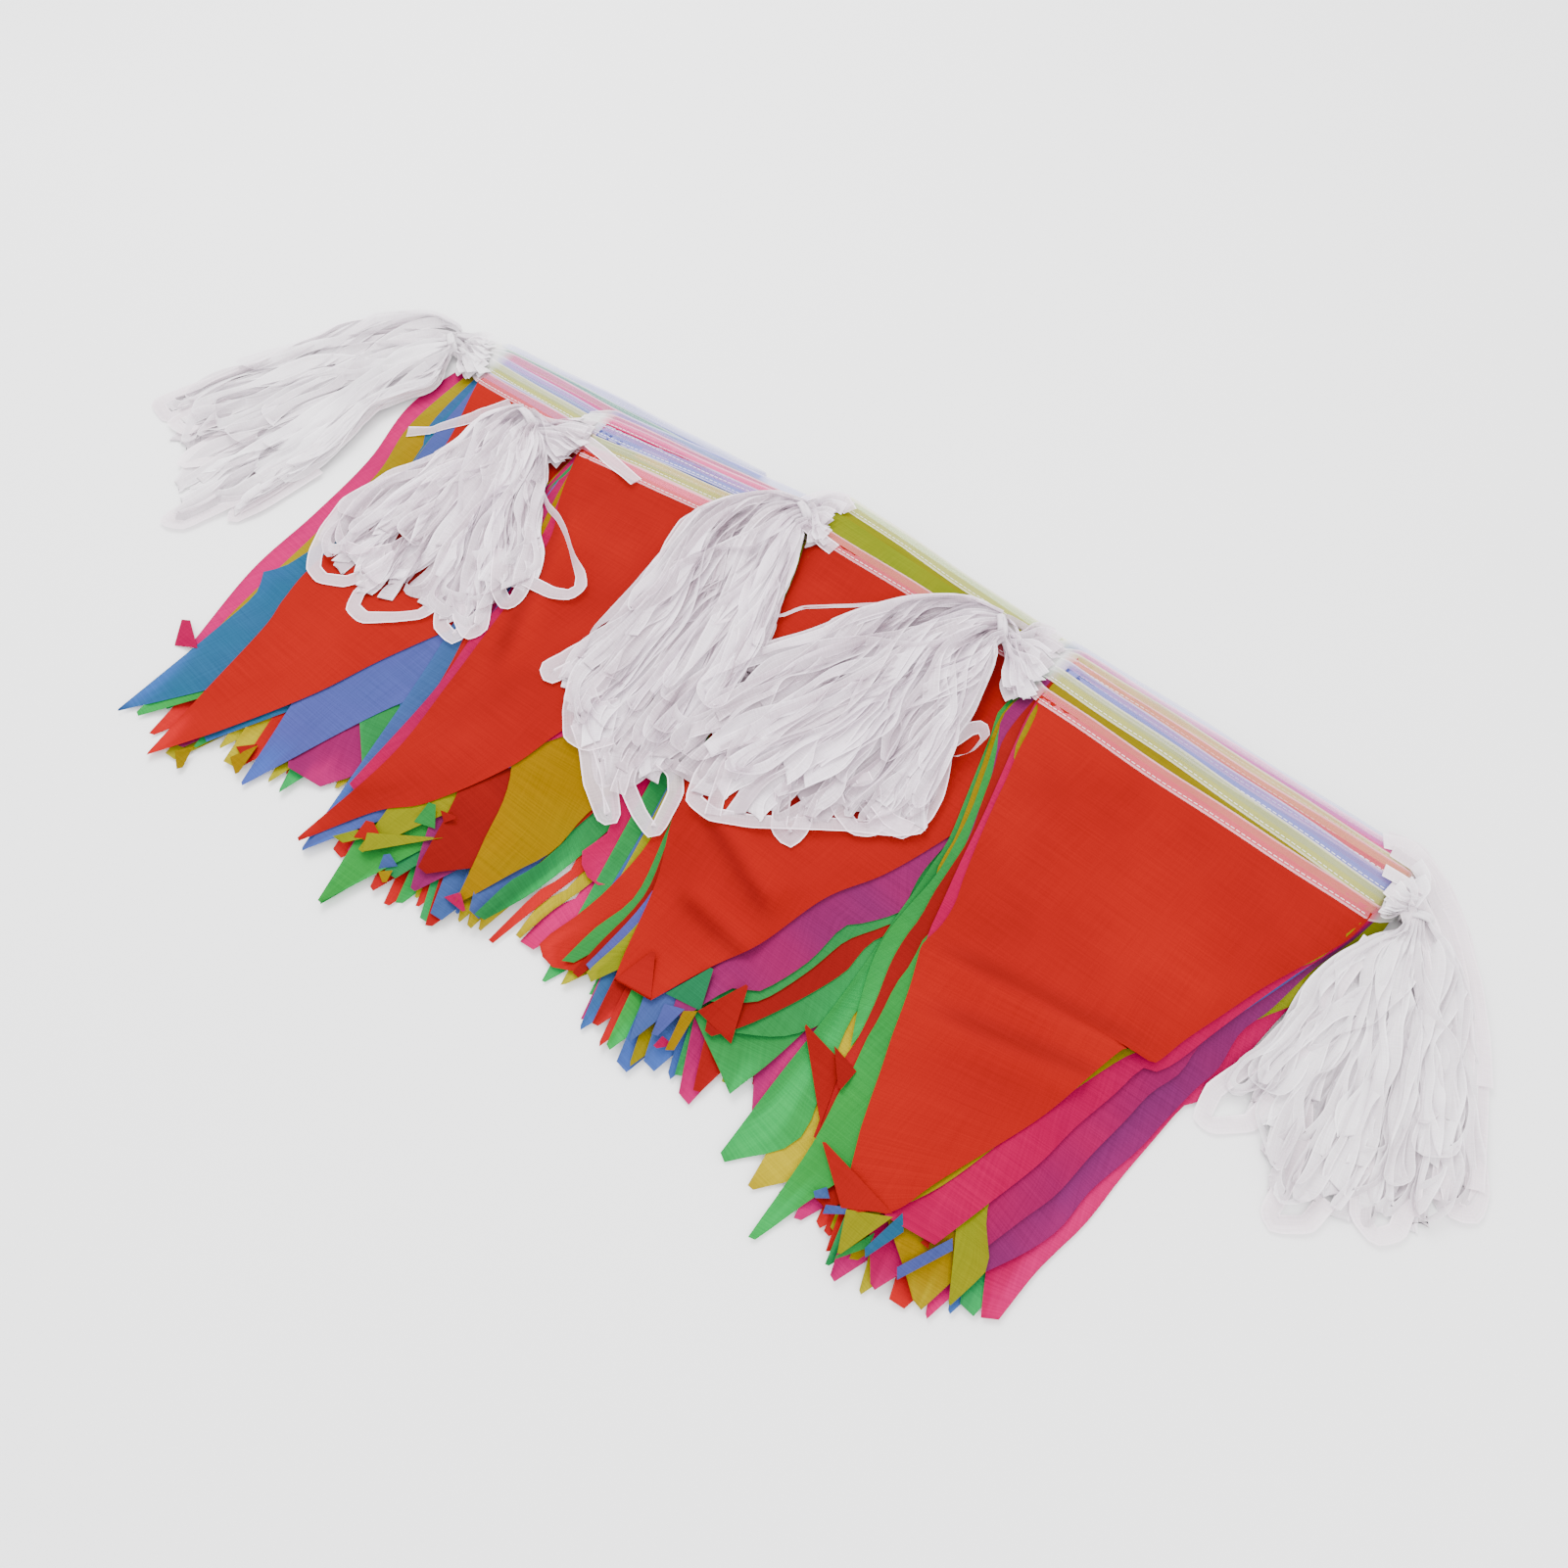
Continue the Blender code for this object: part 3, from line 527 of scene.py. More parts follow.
@dataclass(frozen=True)
class TapeFinish:
    """Soft white tape, thinner in the middle and where it has light, with firm selvedges and a seam."""

    name: str
    cover: float
    edge_cover: float
    half_width: float
    contrast: float
    whiter: float
    white: Colour
    grey: Colour
    selvedge: Colour = rgb(1.0, 0.86, 0.92)
    relief: float = 0.18 * MM

    def build(self) -> bpy.types.Material:
        """Makes the material."""
        graph = Surface(self.name)
        along, across = graph.cloth_coordinates()
        fine = graph.noise(along * 30.0, across * 2600.0, 1.0)
        cross = graph.noise(along * 1500.0, across * 120.0, 1.0)
        cloudy = graph.noise(along * 22.0, across * 90.0)
        edge = ((across.magnitude() - self.half_width * 0.78) / (self.half_width * 0.12)).clamped()
        threads = (fine - 0.5) * 0.8 + (cross - 0.5) * 0.6
        tone = graph.attribute("tone") - 0.5
        share = 0.5 + threads * self.contrast + (cloudy - 0.5) * 1.2 + tone * self.contrast + edge * 0.25
        tint = graph.blend(edge * self.whiter, graph.attribute("tint", "Color"), self.selvedge)
        # Where the tone is low the tape turns grey. In the hanks that tone is painted shade.
        own = graph.blend(share.clamped(), self.grey, self.white)
        thin = graph.attribute("light") * (1.0 - edge) * 0.28
        return graph.finish(
            (threads + edge * 0.8, self.relief),
            Base_Color=graph.value("ShaderNodeVectorMath", {0: own, 1: tint}, operation="MULTIPLY"),
            Alpha=(self.cover + edge * (self.edge_cover - self.cover) + threads * 0.12 - thin).clamped(),
            Roughness=0.46 + cloudy * 0.18,
            Specular_IOR_Level=0.2,
        )


@dataclass(frozen=True)
class PlainFinish:
    """A plain surface with a little unevenness, for thread and for the floor."""

    name: str
    colour: Colour
    roughness: float
    grain: float

    def build(self) -> bpy.types.Material:
        """Makes the material."""
        graph = Surface(self.name)
        place = graph.value("ShaderNodeTexCoord", {}, "Object")
        speckle = graph.value("ShaderNodeTexNoise", {"Vector": place, "Scale": self.grain})
        darker = rgb(*(0.94 * part for part in self.colour[:3]))
        return graph.finish(
            Base_Color=graph.blend(speckle, darker, self.colour), Roughness=self.roughness + speckle * 0.1
        )


PENNANT_FINISHES = (
    PennantFinish(R, rgb(0.150, 0.0066, 0.0060), rgb(0.2450, 0.0078, 0.0055), rgb(0.50, 0.012, 0.016), 0.45),
    PennantFinish(Y, rgb(0.130, 0.158, 0.0060), rgb(0.1791, 0.0933, 0.0000), rgb(0.42, 0.37, 0.012)),
    PennantFinish(B, rgb(0.0105, 0.0680, 0.124), rgb(0.0480, 0.0520, 0.200), rgb(0.045, 0.105, 0.40)),
    PennantFinish(M, rgb(0.1086, 0.0132, 0.0691), rgb(0.2642, 0.0000, 0.0391), rgb(0.52, 0.008, 0.138)),
    PennantFinish(G, rgb(0.0110, 0.102, 0.040), rgb(0.0175, 0.1621, 0.0251), rgb(0.006, 0.37, 0.075)),
)
TAPE_TINTS: dict[Cloth, Tint] = {
    R: (0.92, 0.145, 0.20),
    Y: (0.66, 0.68, 0.20),
    B: (0.33, 0.34, 0.85),
    M: (0.95, 0.12, 0.42),
    G: (0.20, 0.50, 0.26),
}
HEADING_FINISH = TapeFinish(
    "heading_tape", 0.44, 0.62, 5 * MM, 0.6, 0.4, rgb(1.0, 1.0, 1.0), rgb(0.72, 0.72, 0.72)
)
# The hank tape's white and grey are tinted pink. A little of this is the tape's own colour, and the rest is
# painted red light that the cloth below throws back. Its grey is painted shade for the tapes deep in the hank.
# The pale tape has less of both.
HANK_FINISH = TapeFinish(
    "hank_tape", 0.74, 0.92, 4.6 * MM, 1.3, 0.0, rgb(0.94, 0.85, 0.93), rgb(0.52, 0.41, 0.47)
)
PALE_HANK_FINISH = TapeFinish(
    "pale_hank_tape", 0.80, 0.92, 4.6 * MM, 0.9, 0.0, rgb(0.97, 0.93, 0.97), rgb(0.68, 0.60, 0.65)
)
THREAD_FINISH = PlainFinish("white_thread", rgb(0.90, 0.89, 0.90), 0.6, 900.0)
FLOOR_FINISH = PlainFinish("pale_floor", rgb(0.94, 0.94, 0.945), 0.8, 3.0)


# ---------------------------------------------------------------- what the stacks hold, in mm of the plan


def line(*numbers: float) -> Line:
    """Points of the plan, from their X and Y in turn."""
    return tuple(zip(numbers[::2], numbers[1::2]))


@dataclass(frozen=True)
class Leaf:
    """One pennant, in mm of the plan.

    left and right are the points of its side edges below the heading; the last of each is the tip. back is
    how far its heading lies behind the top one at the left and right ends, and slide how far these are moved
    along it. fold is the share of the left and right edges at which the tip is turned back over the cloth, and
    curl is how high the tip stands. A pennant that isn't bound shows no tape of its own.
    """

    cloth: Cloth
    back: Point
    left: Line
    right: Line
    fold: Point | None = None
    curl: float = 1.0
    slide: Point = (0.0, 0.0)
    tone: float | None = None
    bound: bool = True
    creases: tuple[Line, ...] = ()


@dataclass(frozen=True)
class Flap:
    """The tip of a lower pennant that lies turned over the others: two points of its base and its tip."""

    cloth: Cloth
    corners: Line
    blunt: float
    tone: float


@dataclass(frozen=True)
class StackPlan:
    """A stack, in mm of the plan.

    corner is the top heading's left end, and turn its angle in degrees from +X. tips are where the pennants
    come out that are hidden but for their tips. leaves go from the lowest that shows to the top one, and flaps
    lie on all of them. trail is how far the lowest heading lies behind the top one, and plane the height at
    which all of these were read from the photograph.
    """

    name: str
    corner: Point
    turn: float
    trail: Point
    plane: float
    width: float
    tips: tuple[tuple[Cloth, float, float], ...]
    leaves: tuple[Leaf, ...]
    flaps: tuple[Flap, ...]


REAR = StackPlan(
    name="rear", corner=(-336, 100), turn=2.0, trail=(24, 32), plane=15.0, width=193,
    tips=(
        (G, -274, -180), (R, -266, -196), (Y, -247, -198), (M, -248, -191), (G, -242, -186),
        (Y, -232, -177), (Y, -220, -182), (R, -214, -177), (R, -193, -165), (Y, -196, -174),
        (G, -187, -174), (M, -174, -151), (Y, -166, -156), (M, -158, -150), (G, -156, -143),
        (B, -185, -152), (M, -154, -126), (G, -262, -176),
    ),
    leaves=(
        Leaf(M, (20, 22), line(-353, 60, -335, 10, -325, -40, -318, -90, -300, -145),
            line(-160, 40, -220, -60, -290, -147), curl=1.5, slide=(-16, 0), tone=0.9),
        Leaf(Y, (24, 26), line(-340, 50, -322, 5, -312, -50, -300, -120, -284, -176),
            line(-150, 60, -200, -60, -276, -178), curl=1.5, slide=(-11, 0), tone=0.8),
        Leaf(B, (28, 40), line(-330, 55, -308, 25, -300, -30, -280, -110, -246, -178),
            line(-150, 60, -190, -60, -240, -180), slide=(-7, 0)),
        Leaf(G, (24, 33), line(-325, 60, -306, 20, -304, -60, -296, -120, -284, -192),
            line(-150, 60, -210, -60, -281, -193), curl=2.0, slide=(-4, 0), tone=0.9),
        Leaf(B, (17, 19), line(-327, 60, -306, 0, -305, -72, -312, -86, -302, -100, -298, -130, -293, -197),
            line(-150, 60, -210, -60, -262, -150, -292, -198), curl=1.5, slide=(-2, 0), tone=0.1),
        Leaf(M, (22, 29), line(-310, 20, -280, -60, -240, -120, -195, -163),
            line(-148, 50, -160, -40, -163, -132, -173, -160), curl=2.0, tone=0.3),
        Leaf(G, (12, 14), line(-310, 20, -270, -60, -190, -120, -155, -147),
            line(-142, 60, -146, -40, -151, -147), curl=2.0, tone=0.5),
        Leaf(B, (16, 19), line(-310, 20, -260, -40, -191, -90, -154, -135),
            line(-143, 50, -148, -40, -150, -134), curl=1.5, tone=0.1),
        Leaf(Y, (10, 12), line(-310, 20, -250, -60, -212, -160), line(-150, 50, -180, -50, -207, -160),
            tone=0.4),
        Leaf(B, (1, 1), line(-310, 20, -260, -60, -224, -140, -206, -184),
            line(-150, 50, -160, -50, -184, -105, -204, -185), curl=1.5, tone=0.9),
        Leaf(R, (0, 0), line(-303, 30, -295, -60, -287, -92, -279, -112, -268, -160, -258, -203),
            line(-152, 60, -190, -25, -210, -80, -222, -125, -240, -170, -257, -205), curl=1.5, tone=0.9),
    ),
    flaps=(
        Flap(M, line(-295, -145, -306, -152, -316, -137), 5.0, 0.9),
        Flap(Y, line(-243, -186, -248, -194, -237, -199), 3.0, 0.8),
        Flap(R, line(-226, -172, -219, -164, -216, -174), 1.5, 0.5),
        Flap(Y, line(-223, -178, -218, -164, -212, -182), 2.0, 0.9),
    ),
)

THIRD = StackPlan(
    name="third", corner=(-240, 92), turn=8.0, trail=(30, 30), plane=18.0, width=196,
    tips=(
        (Y, -149, -174), (B, -149, -189), (R, -134, -180), (G, -119, -202), (R, -119, -188),
        (R, -106, -182), (R, -94, -184), (M, -116, -177), (G, -90, -180), (Y, -86, -172), (R, -82, -175),
        (G, -73, -178), (R, -70, -179), (B, -71, -173), (B, -65, -165), (Y, -61, -167), (Y, -55, -166),
        (Y, -50, -164), (B, -58, -160), (G, -105, -172), (M, -128, -176),
    ),
    leaves=(
        Leaf(G, (28, 26), line(-200, 20, -168, -70, -140, -150, -121, -203),
            line(-30, 70, -70, -50, -100, -140, -119, -203), curl=1.5, tone=1.0),
        Leaf(B, (34, 34), line(-200, 20, -172, -80, -152, -140, -150, -188),
            line(-30, 70, -80, -60, -125, -140, -148, -189), curl=2.0, tone=0.8),
        Leaf(M, (26, 27), line(-200, 20, -150, -70, -112, -140, -92, -170),
            line(-30, 70, -50, -50, -76, -130, -89, -170), curl=2.0),
        Leaf(M, (25, 26), line(-200, 20, -120, -40, -34, -108, -32, -136, -31, -156),
            line(-30, 75, -18, -10, -18, -100, -20, -137, -23, -155), curl=1.5, tone=1.0),
        Leaf(Y, (24, 25), line(-200, 20, -120, -40, -40, -104, -38, -137, -35, -155),
            line(-30, 75, -24, -10, -27, -106, -31, -135, -32, -155), curl=1.5, tone=1.0),
        Leaf(R, (29, 30), line(-200, 20, -120, -40, -46, -100, -44, -135, -43, -165),
            line(-30, 75, -28, -10, -34, -104, -37, -131, -40, -165), tone=0.9),
        Leaf(G, (22, 23), line(-200, 20, -130, -40, -62, -90, -54, -117, -58, -137, -58, -160),
            line(-30, 75, -32, -10, -41, -80, -42, -106, -45, -134, -52, -159), curl=2.0, tone=0.5),
        Leaf(Y, (20, 22), line(-200, 20, -160, -70, -140, -130, -128, -172),
            line(-30, 70, -80, -60, -110, -130, -125, -172), curl=2.5),
        Leaf(M, (26, 28), line(-200, 20, -110, -40, -46, -78, -43, -103, -31, -111),
            line(-30, 80, -18, 10, -8, -60, -6, -90, -24, -111), curl=2.0, tone=1.0),
        Leaf(R, (15, 16), line(-200, 20, -160, -60, -120, -110, -98, -160),
            line(-30, 80, -50, 0, -54, -76, -60, -120, -92, -160), curl=2.0, tone=0.1),
        Leaf(B, (20, 24), line(-205, 20, -180, -50, -168, -100, -160, -150),
            line(-30, 80, -60, -20, -120, -110, -156, -151), curl=1.5, tone=0.9),
        Leaf(Y, (8, 16), line(-210, 30, -160, -40, -104, -92, -84, -130, -70, -161),
            line(-32, 80, -44, 0, -56, -76, -54, -110, -60, -132, -68, -161), curl=1.5, tone=1.0),
        Leaf(M, (1, 1), line(-212, 40, -192, -10, -184, -45, -172, -85, -161, -150),
            line(-40, 70, -80, -20, -120, -100, -156, -151), tone=0.9),
        Leaf(R, (0, 0), line(-222, 60, -203, 33, -188, -10, -179, -42, -170, -75, -158, -125, -156, -187),
            line(-44, 70, -70, 0, -99, -48, -106, -90, -122, -132, -138, -152, -154, -188), curl=1.5,
            tone=0.8, creases=(line(-215, 70, -150, -60),)),
    ),
    flaps=(
        Flap(G, line(-119, -144, -108, -140, -120, -131), 4.0, 0.7),
        Flap(R, line(-107, -135, -114, -131, -105, -129), 1.5, 0.2),
        Flap(Y, line(-129, -164, -137, -165, -140, -175), 7.0, 0.1),
        Flap(R, line(-135, -169, -120, -162, -136, -158), 4.0, 0.9),
        Flap(B, line(-106, -166, -112, -173, -115, -165), 3.0, 0.6),
        Flap(Y, line(-106, -169, -111, -174, -104, -176), 2.0, 0.8),
        Flap(Y, line(-101, -141, -132, -163, -125, -171), 1.5, 0.2),
        Flap(M, line(-72, -156, -76, -163, -63, -162), 1.5, 0.9),
    ),
)

SECOND = StackPlan(
    name="second", corner=(-91, 130), turn=-0.5, trail=(24, 14), plane=20.0, width=193,
    tips=(
        (G, -7, -164), (B, -4, -153), (Y, 1, -160), (G, 15, -155), (M, 20, -166), (B, 22, -168),
        (R, 26, -164), (R, 34, -168), (G, 38, -167), (B, 49, -170), (Y, 51, -166), (B, 58, -162),
        (B, 68, -159), (G, 71, -158), (M, 80, -163), (R, 82, -158), (Y, 89, -147), (R, 100, -139),
        (M, 109, -151), (B, 43, -158),
    ),
    leaves=(
        Leaf(G, (27, 17), line(-70, 60, -20, -60, 40, -120, 90, -147),
            line(114, 90, 108, 0, 100, -110, 94, -149), curl=2.0, tone=0.6),
        Leaf(R, (8, 6), line(-70, 60, -40, -20, -22, -73, -18, -106, -19, -128, -22, -152, -9, -156),
            line(112, 60, 50, -60, 8, -126, 2, -150), curl=1.5, tone=1.0),
        Leaf(G, (28, 18), line(-70, 60, -38, -20, -18, -69, -7, -97, -5, -111, -8, -129, -8, -151),
            line(112, 60, 50, -60, 8, -120, -3, -148), tone=0.7),
        Leaf(R, (7, 5), line(-70, 60, -37, -20, -16, -68, -4, -95, -1, -111, -1, -131, 0, -152),
            line(112, 60, 50, -60, 10, -120, 4, -152), tone=0.0),
        Leaf(B, (9, 7), line(-70, 60, -36, -20, -15, -66, -3, -90, 1, -109, 2, -134, 2, -145),
            line(112, 60, 50, -60, 12, -120, 6, -146), tone=1.0),
        Leaf(G, (8, 5), line(-70, 60, 0, -60, 50, -110, 72, -128), line(91, 103, 97, 35, 98, -7, 100, -26,
            100, -45, 100, -56, 105, -75, 106, -92, 95, -113, 74, -128), curl=2.0),
        Leaf(R, (6, 4), line(-70, 60, 0, -60, 50, -110, 66, -134), line(91, 103, 95, 37, 97, -4, 104, -30,
            99, -44, 96, -52, 96, -62, 96, -72, 89, -95, 79, -119, 70, -134), curl=1.5, tone=0.1),
        Leaf(G, (7, 4), line(-70, 60, 0, -60, 44, -100, 58, -122), line(90, 102, 94, 39, 95, -2, 101, -28,
            97, -38, 93, -46, 89, -53, 86, -61, 83, -82, 76, -106, 66, -116), curl=1.5, tone=0.6),
        Leaf(M, (10, 6), line(-70, 60, -10, -60, 34, -110, 48, -136), line(89, 102, 92, 42, 92, -4, 97, -28,
            93, -37, 87, -46, 81, -54, 80, -78, 72, -104, 62, -110, 54, -136), curl=1.5, tone=0.2),
        Leaf(Y, (29, 19), line(-80, 60, -36, -20, -12, -65, 0, -88, 5, -107, 6, -126, 5, -149, 10, -150),
            line(100, 90, 68, -20, 36, -90, 14, -140), tone=0.25),
        Leaf(Y, (19, 12), line(-78, 60, -33, -20, -6, -70, 2, -100),
            line(108, 90, 70, -20, 30, -80, 6, -100), curl=0.2, tone=0.0, bound=False),
        Leaf(R, (0, 0), line(-70, 84, -44, 0, -24, -55, -3, -92, 14, -135, 28, -162),
            line(100, 60, 90, 18, 79, -18, 65, -47, 57, -85, 46, -112, 30, -162), fold=(0.93, 0.92),
            curl=2.0, tone=0.8, creases=(line(5, -85, 66, -92), line(-20, -40, 60, -70))),
    ),
    flaps=(
        Flap(G, line(40, -132, 58, -128, 48, -109), 1.5, 0.0),
        Flap(B, line(52, -132, 43, -136, 50, -150), 3.0, 0.9),
        Flap(M, line(60, -148, 53, -148, 54, -154), 2.0, 0.9),
        Flap(Y, line(52, -133, 57, -129, 60, -151), 4.0, 0.9),
        Flap(R, line(57, -129, 79, -131, 66, -105), 1.5, 0.4),
    ),
)

FRONT = StackPlan(
    name="front", corner=(76, 115), turn=-2.0, trail=(26, 28), plane=20.0, width=193,
    tips=(
        (M, 151, -172), (R, 159, -167), (R, 164, -168), (Y, 167, -165), (R, 169, -174), (G, 172, -170),
        (G, 172, -178), (M, 177, -180), (Y, 179, -170), (Y, 189, -177), (R, 203, -172), (M, 215, -167),
        (B, 221, -160), (G, 226, -155), (M, 204, -161), (B, 191, -162), (R, 209, -147), (G, 184, -162),
        (R, 155, -160), (Y, 198, -158),
    ),
    leaves=(
        Leaf(Y, (32, 33), line(85, 86, 97, 43, 108, -13, 110, -64, 115, -103, 121, -145, 126, -174),
            line(262, 60, 190, -90, 129, -174), curl=1.5, slide=(-6, 0), tone=1.0),
        Leaf(G, (33, 34), line(65, 100, 70, 84, 77, 62, 83, 43, 91, 17, 93, 1, 95, -14, 97, -34, 100, -56,
            103, -89, 105, -129, 108, -171),
            line(224, 99, 152, -3, 114, -67, 119, -109, 130, -145, 112, -173), curl=1.5, slide=(-8, 0),
            tone=0.7),
        Leaf(M, (31, 32), line(88, 60, 110, -40, 150, -120, 190, -172), line(262, 60, 232, -60, 193, -173),
            curl=2.0),
        Leaf(B, (36, 39), line(110, 60, 122, -40, 132, -100, 136, -146), line(262, 60, 190, -90, 138, -147),
            slide=(-6, 0)),
        Leaf(Y, (30, 31), line(67, 102, 79, 61, 87, 38, 93, 19, 98, -3, 117, -32, 150, -120, 207, -166),
            line(262, 60, 235, -40, 212, -167), curl=2.0),
        Leaf(G, (30, 30), line(68, 103, 81, 63, 89, 40, 94, 20, 98, -3, 98, -26, 99, -44, 103, -60,
            112, -81, 121, -98), line(262, 60, 200, -20, 150, -60, 120, -80), slide=(-4, 0), tone=0.75),
        Leaf(M, (29, 29), line(68, 100, 79, 75, 87, 58, 91, 45, 97, 27, 101, 16, 113, 5, 127, -24, 144, -61,
            138, -168), line(262, 60, 190, -60, 142, -168), slide=(-3, 0), tone=0.15),
        Leaf(R, (27, 28), line(76, 90, 85, 63, 91, 45, 98, 25, 101, 5, 103, -11, 106, -26, 107, -40,
            110, -55, 116, -73, 121, -93, 123, -108, 134, -140), line(262, 60, 190, -60, 140, -140),
            slide=(-2, 0), tone=0.1),
        Leaf(G, (26, 27), line(81, 99, 95, 63, 109, 9, 114, -25, 114, -35, 117, -48, 118, -61, 122, -78,
            124, -90, 128, -105, 130, -117, 136, -145, 140, -190),
            line(262, 60, 200, -60, 158, -140, 143, -189), slide=(-1, 0), tone=0.9),
        Leaf(M, (34, 37), line(100, 60, 150, -40, 206, -110, 232, -154), line(271, 97, 265, 66, 261, 37,
            258, 9, 253, -20, 249, -26, 247, -47, 245, -71, 244, -95, 241, -113, 239, -127, 238, -150),
            curl=0.8, slide=(0, 2), tone=1.0),
        Leaf(Y, (31, 31), line(110, 60, 150, -40, 190, -80, 215, -120),
            line(277, 108, 272, 86, 267, 62, 263, 48, 254, 31, 240, -1, 222, -120), curl=0.6, slide=(0, 6),
            tone=0.1),
        Leaf(M, (4, 4), line(110, 60, 150, -40, 196, -90, 218, -140), line(268, 93, 261, 68, 256, 39,
            251, 20, 252, -1, 249, -16, 246, -39, 244, -56, 238, -83, 237, -103, 232, -120, 222, -141),
            curl=0.6, slide=(0, 3), tone=0.0, bound=False),
        Leaf(M, (3, 3), line(110, 60, 150, -40, 196, -90, 214, -136), line(266, 90, 254, 55, 244, 26,
            240, 3, 240, -14, 235, -30, 233, -48, 230, -70, 228, -93, 223, -111, 216, -137), curl=0.6,
            slide=(0, 2), tone=0.5, bound=False),
        Leaf(Y, (3, 3), line(110, 60, 150, -40, 190, -110, 205, -134, 219, -158),
            line(262, 80, 231, -4, 211, -60, 207, -110, 222, -134, 223, -140, 220, -158), tone=0.25,
            bound=False),
        Leaf(R, (26, 28), line(110, 60, 150, -40, 184, -110, 200, -146),
            line(264, 86, 248, 50, 236, 20, 222, -10, 214, -40, 202, -100, 196, -146), slide=(0, 2),
            tone=0.0),
        Leaf(B, (24, 19), line(110, 60, 150, -40, 180, -100, 196, -140),
            line(262, 80, 240, 10, 218, -40, 204, -100, 198, -140), tone=0.8),
        Leaf(M, (2, 2), line(79, 101, 83, 86, 90, 61, 96, 39, 102, 14, 109, -12, 115, -33, 125, -51,
            168, -110, 178, -147), line(266, 90, 256, 61, 248, 34, 242, 12, 238, -4, 235, -14, 231, -21,
            226, -23, 223, -41, 218, -65, 215, -88, 207, -120, 201, -143), slide=(0, 1), tone=1.0,
            bound=False),
        Leaf(Y, (17, 10),
            line(78, 111, 81, 97, 85, 83, 90, 75, 102, 61, 113, 20, 126, -38, 144, -91, 166, -150),
            line(262, 80, 250, 54, 236, 16, 226, -10, 217, -24, 201, -76, 188, -124, 170, -158), curl=0.6,
            tone=0.6),
        Leaf(R, (0, 0), line(80, 111, 84, 97, 87, 83, 92, 66, 96, 50, 102, 28, 109, 5, 114, -9, 116, -23,
            115, -36, 117, -42, 123, -56, 128, -70, 132, -82, 138, -98, 144, -115, 150, -130, 163, -154,
            174, -148), line(266, 92, 256, 66, 248, 46, 241, 24, 234, 2, 231, -11, 229, -17, 224, -18,
            219, -18, 215, -20, 211, -37, 204, -71, 187, -120, 182, -138, 178, -146), curl=0.8, tone=0.9,
            creases=(line(238, -15, 110, -39), line(228, -38, 129, -67))),
    ),
    flaps=(
        Flap(B, line(152, -153, 156, -156, 150, -159), 3.0, 0.5),
        Flap(B, line(165, -157, 164, -154, 157, -161), 4.0, 0.7),
        Flap(G, line(179, -155, 181, -161, 173, -173), 1.5, 0.7),
        Flap(B, line(183, -141, 188, -147, 181, -164), 4.0, 0.1),
        Flap(Y, line(164, -155, 181, -145, 173, -171), 1.5, 0.3),
        Flap(B, line(205, -136, 208, -140, 196, -162), 5.0, 0.9),
        Flap(R, line(123, -106, 133, -134, 99, -103), 1.5, 0.4),
        Flap(R, line(115, -102, 130, -105, 129, -116), 2.0, 0.2),
        Flap(R, line(180, -144, 162, -156, 139, -139), 1.5, 0.7),
    ),
)


# ---------------------------------------------------------------- stacks


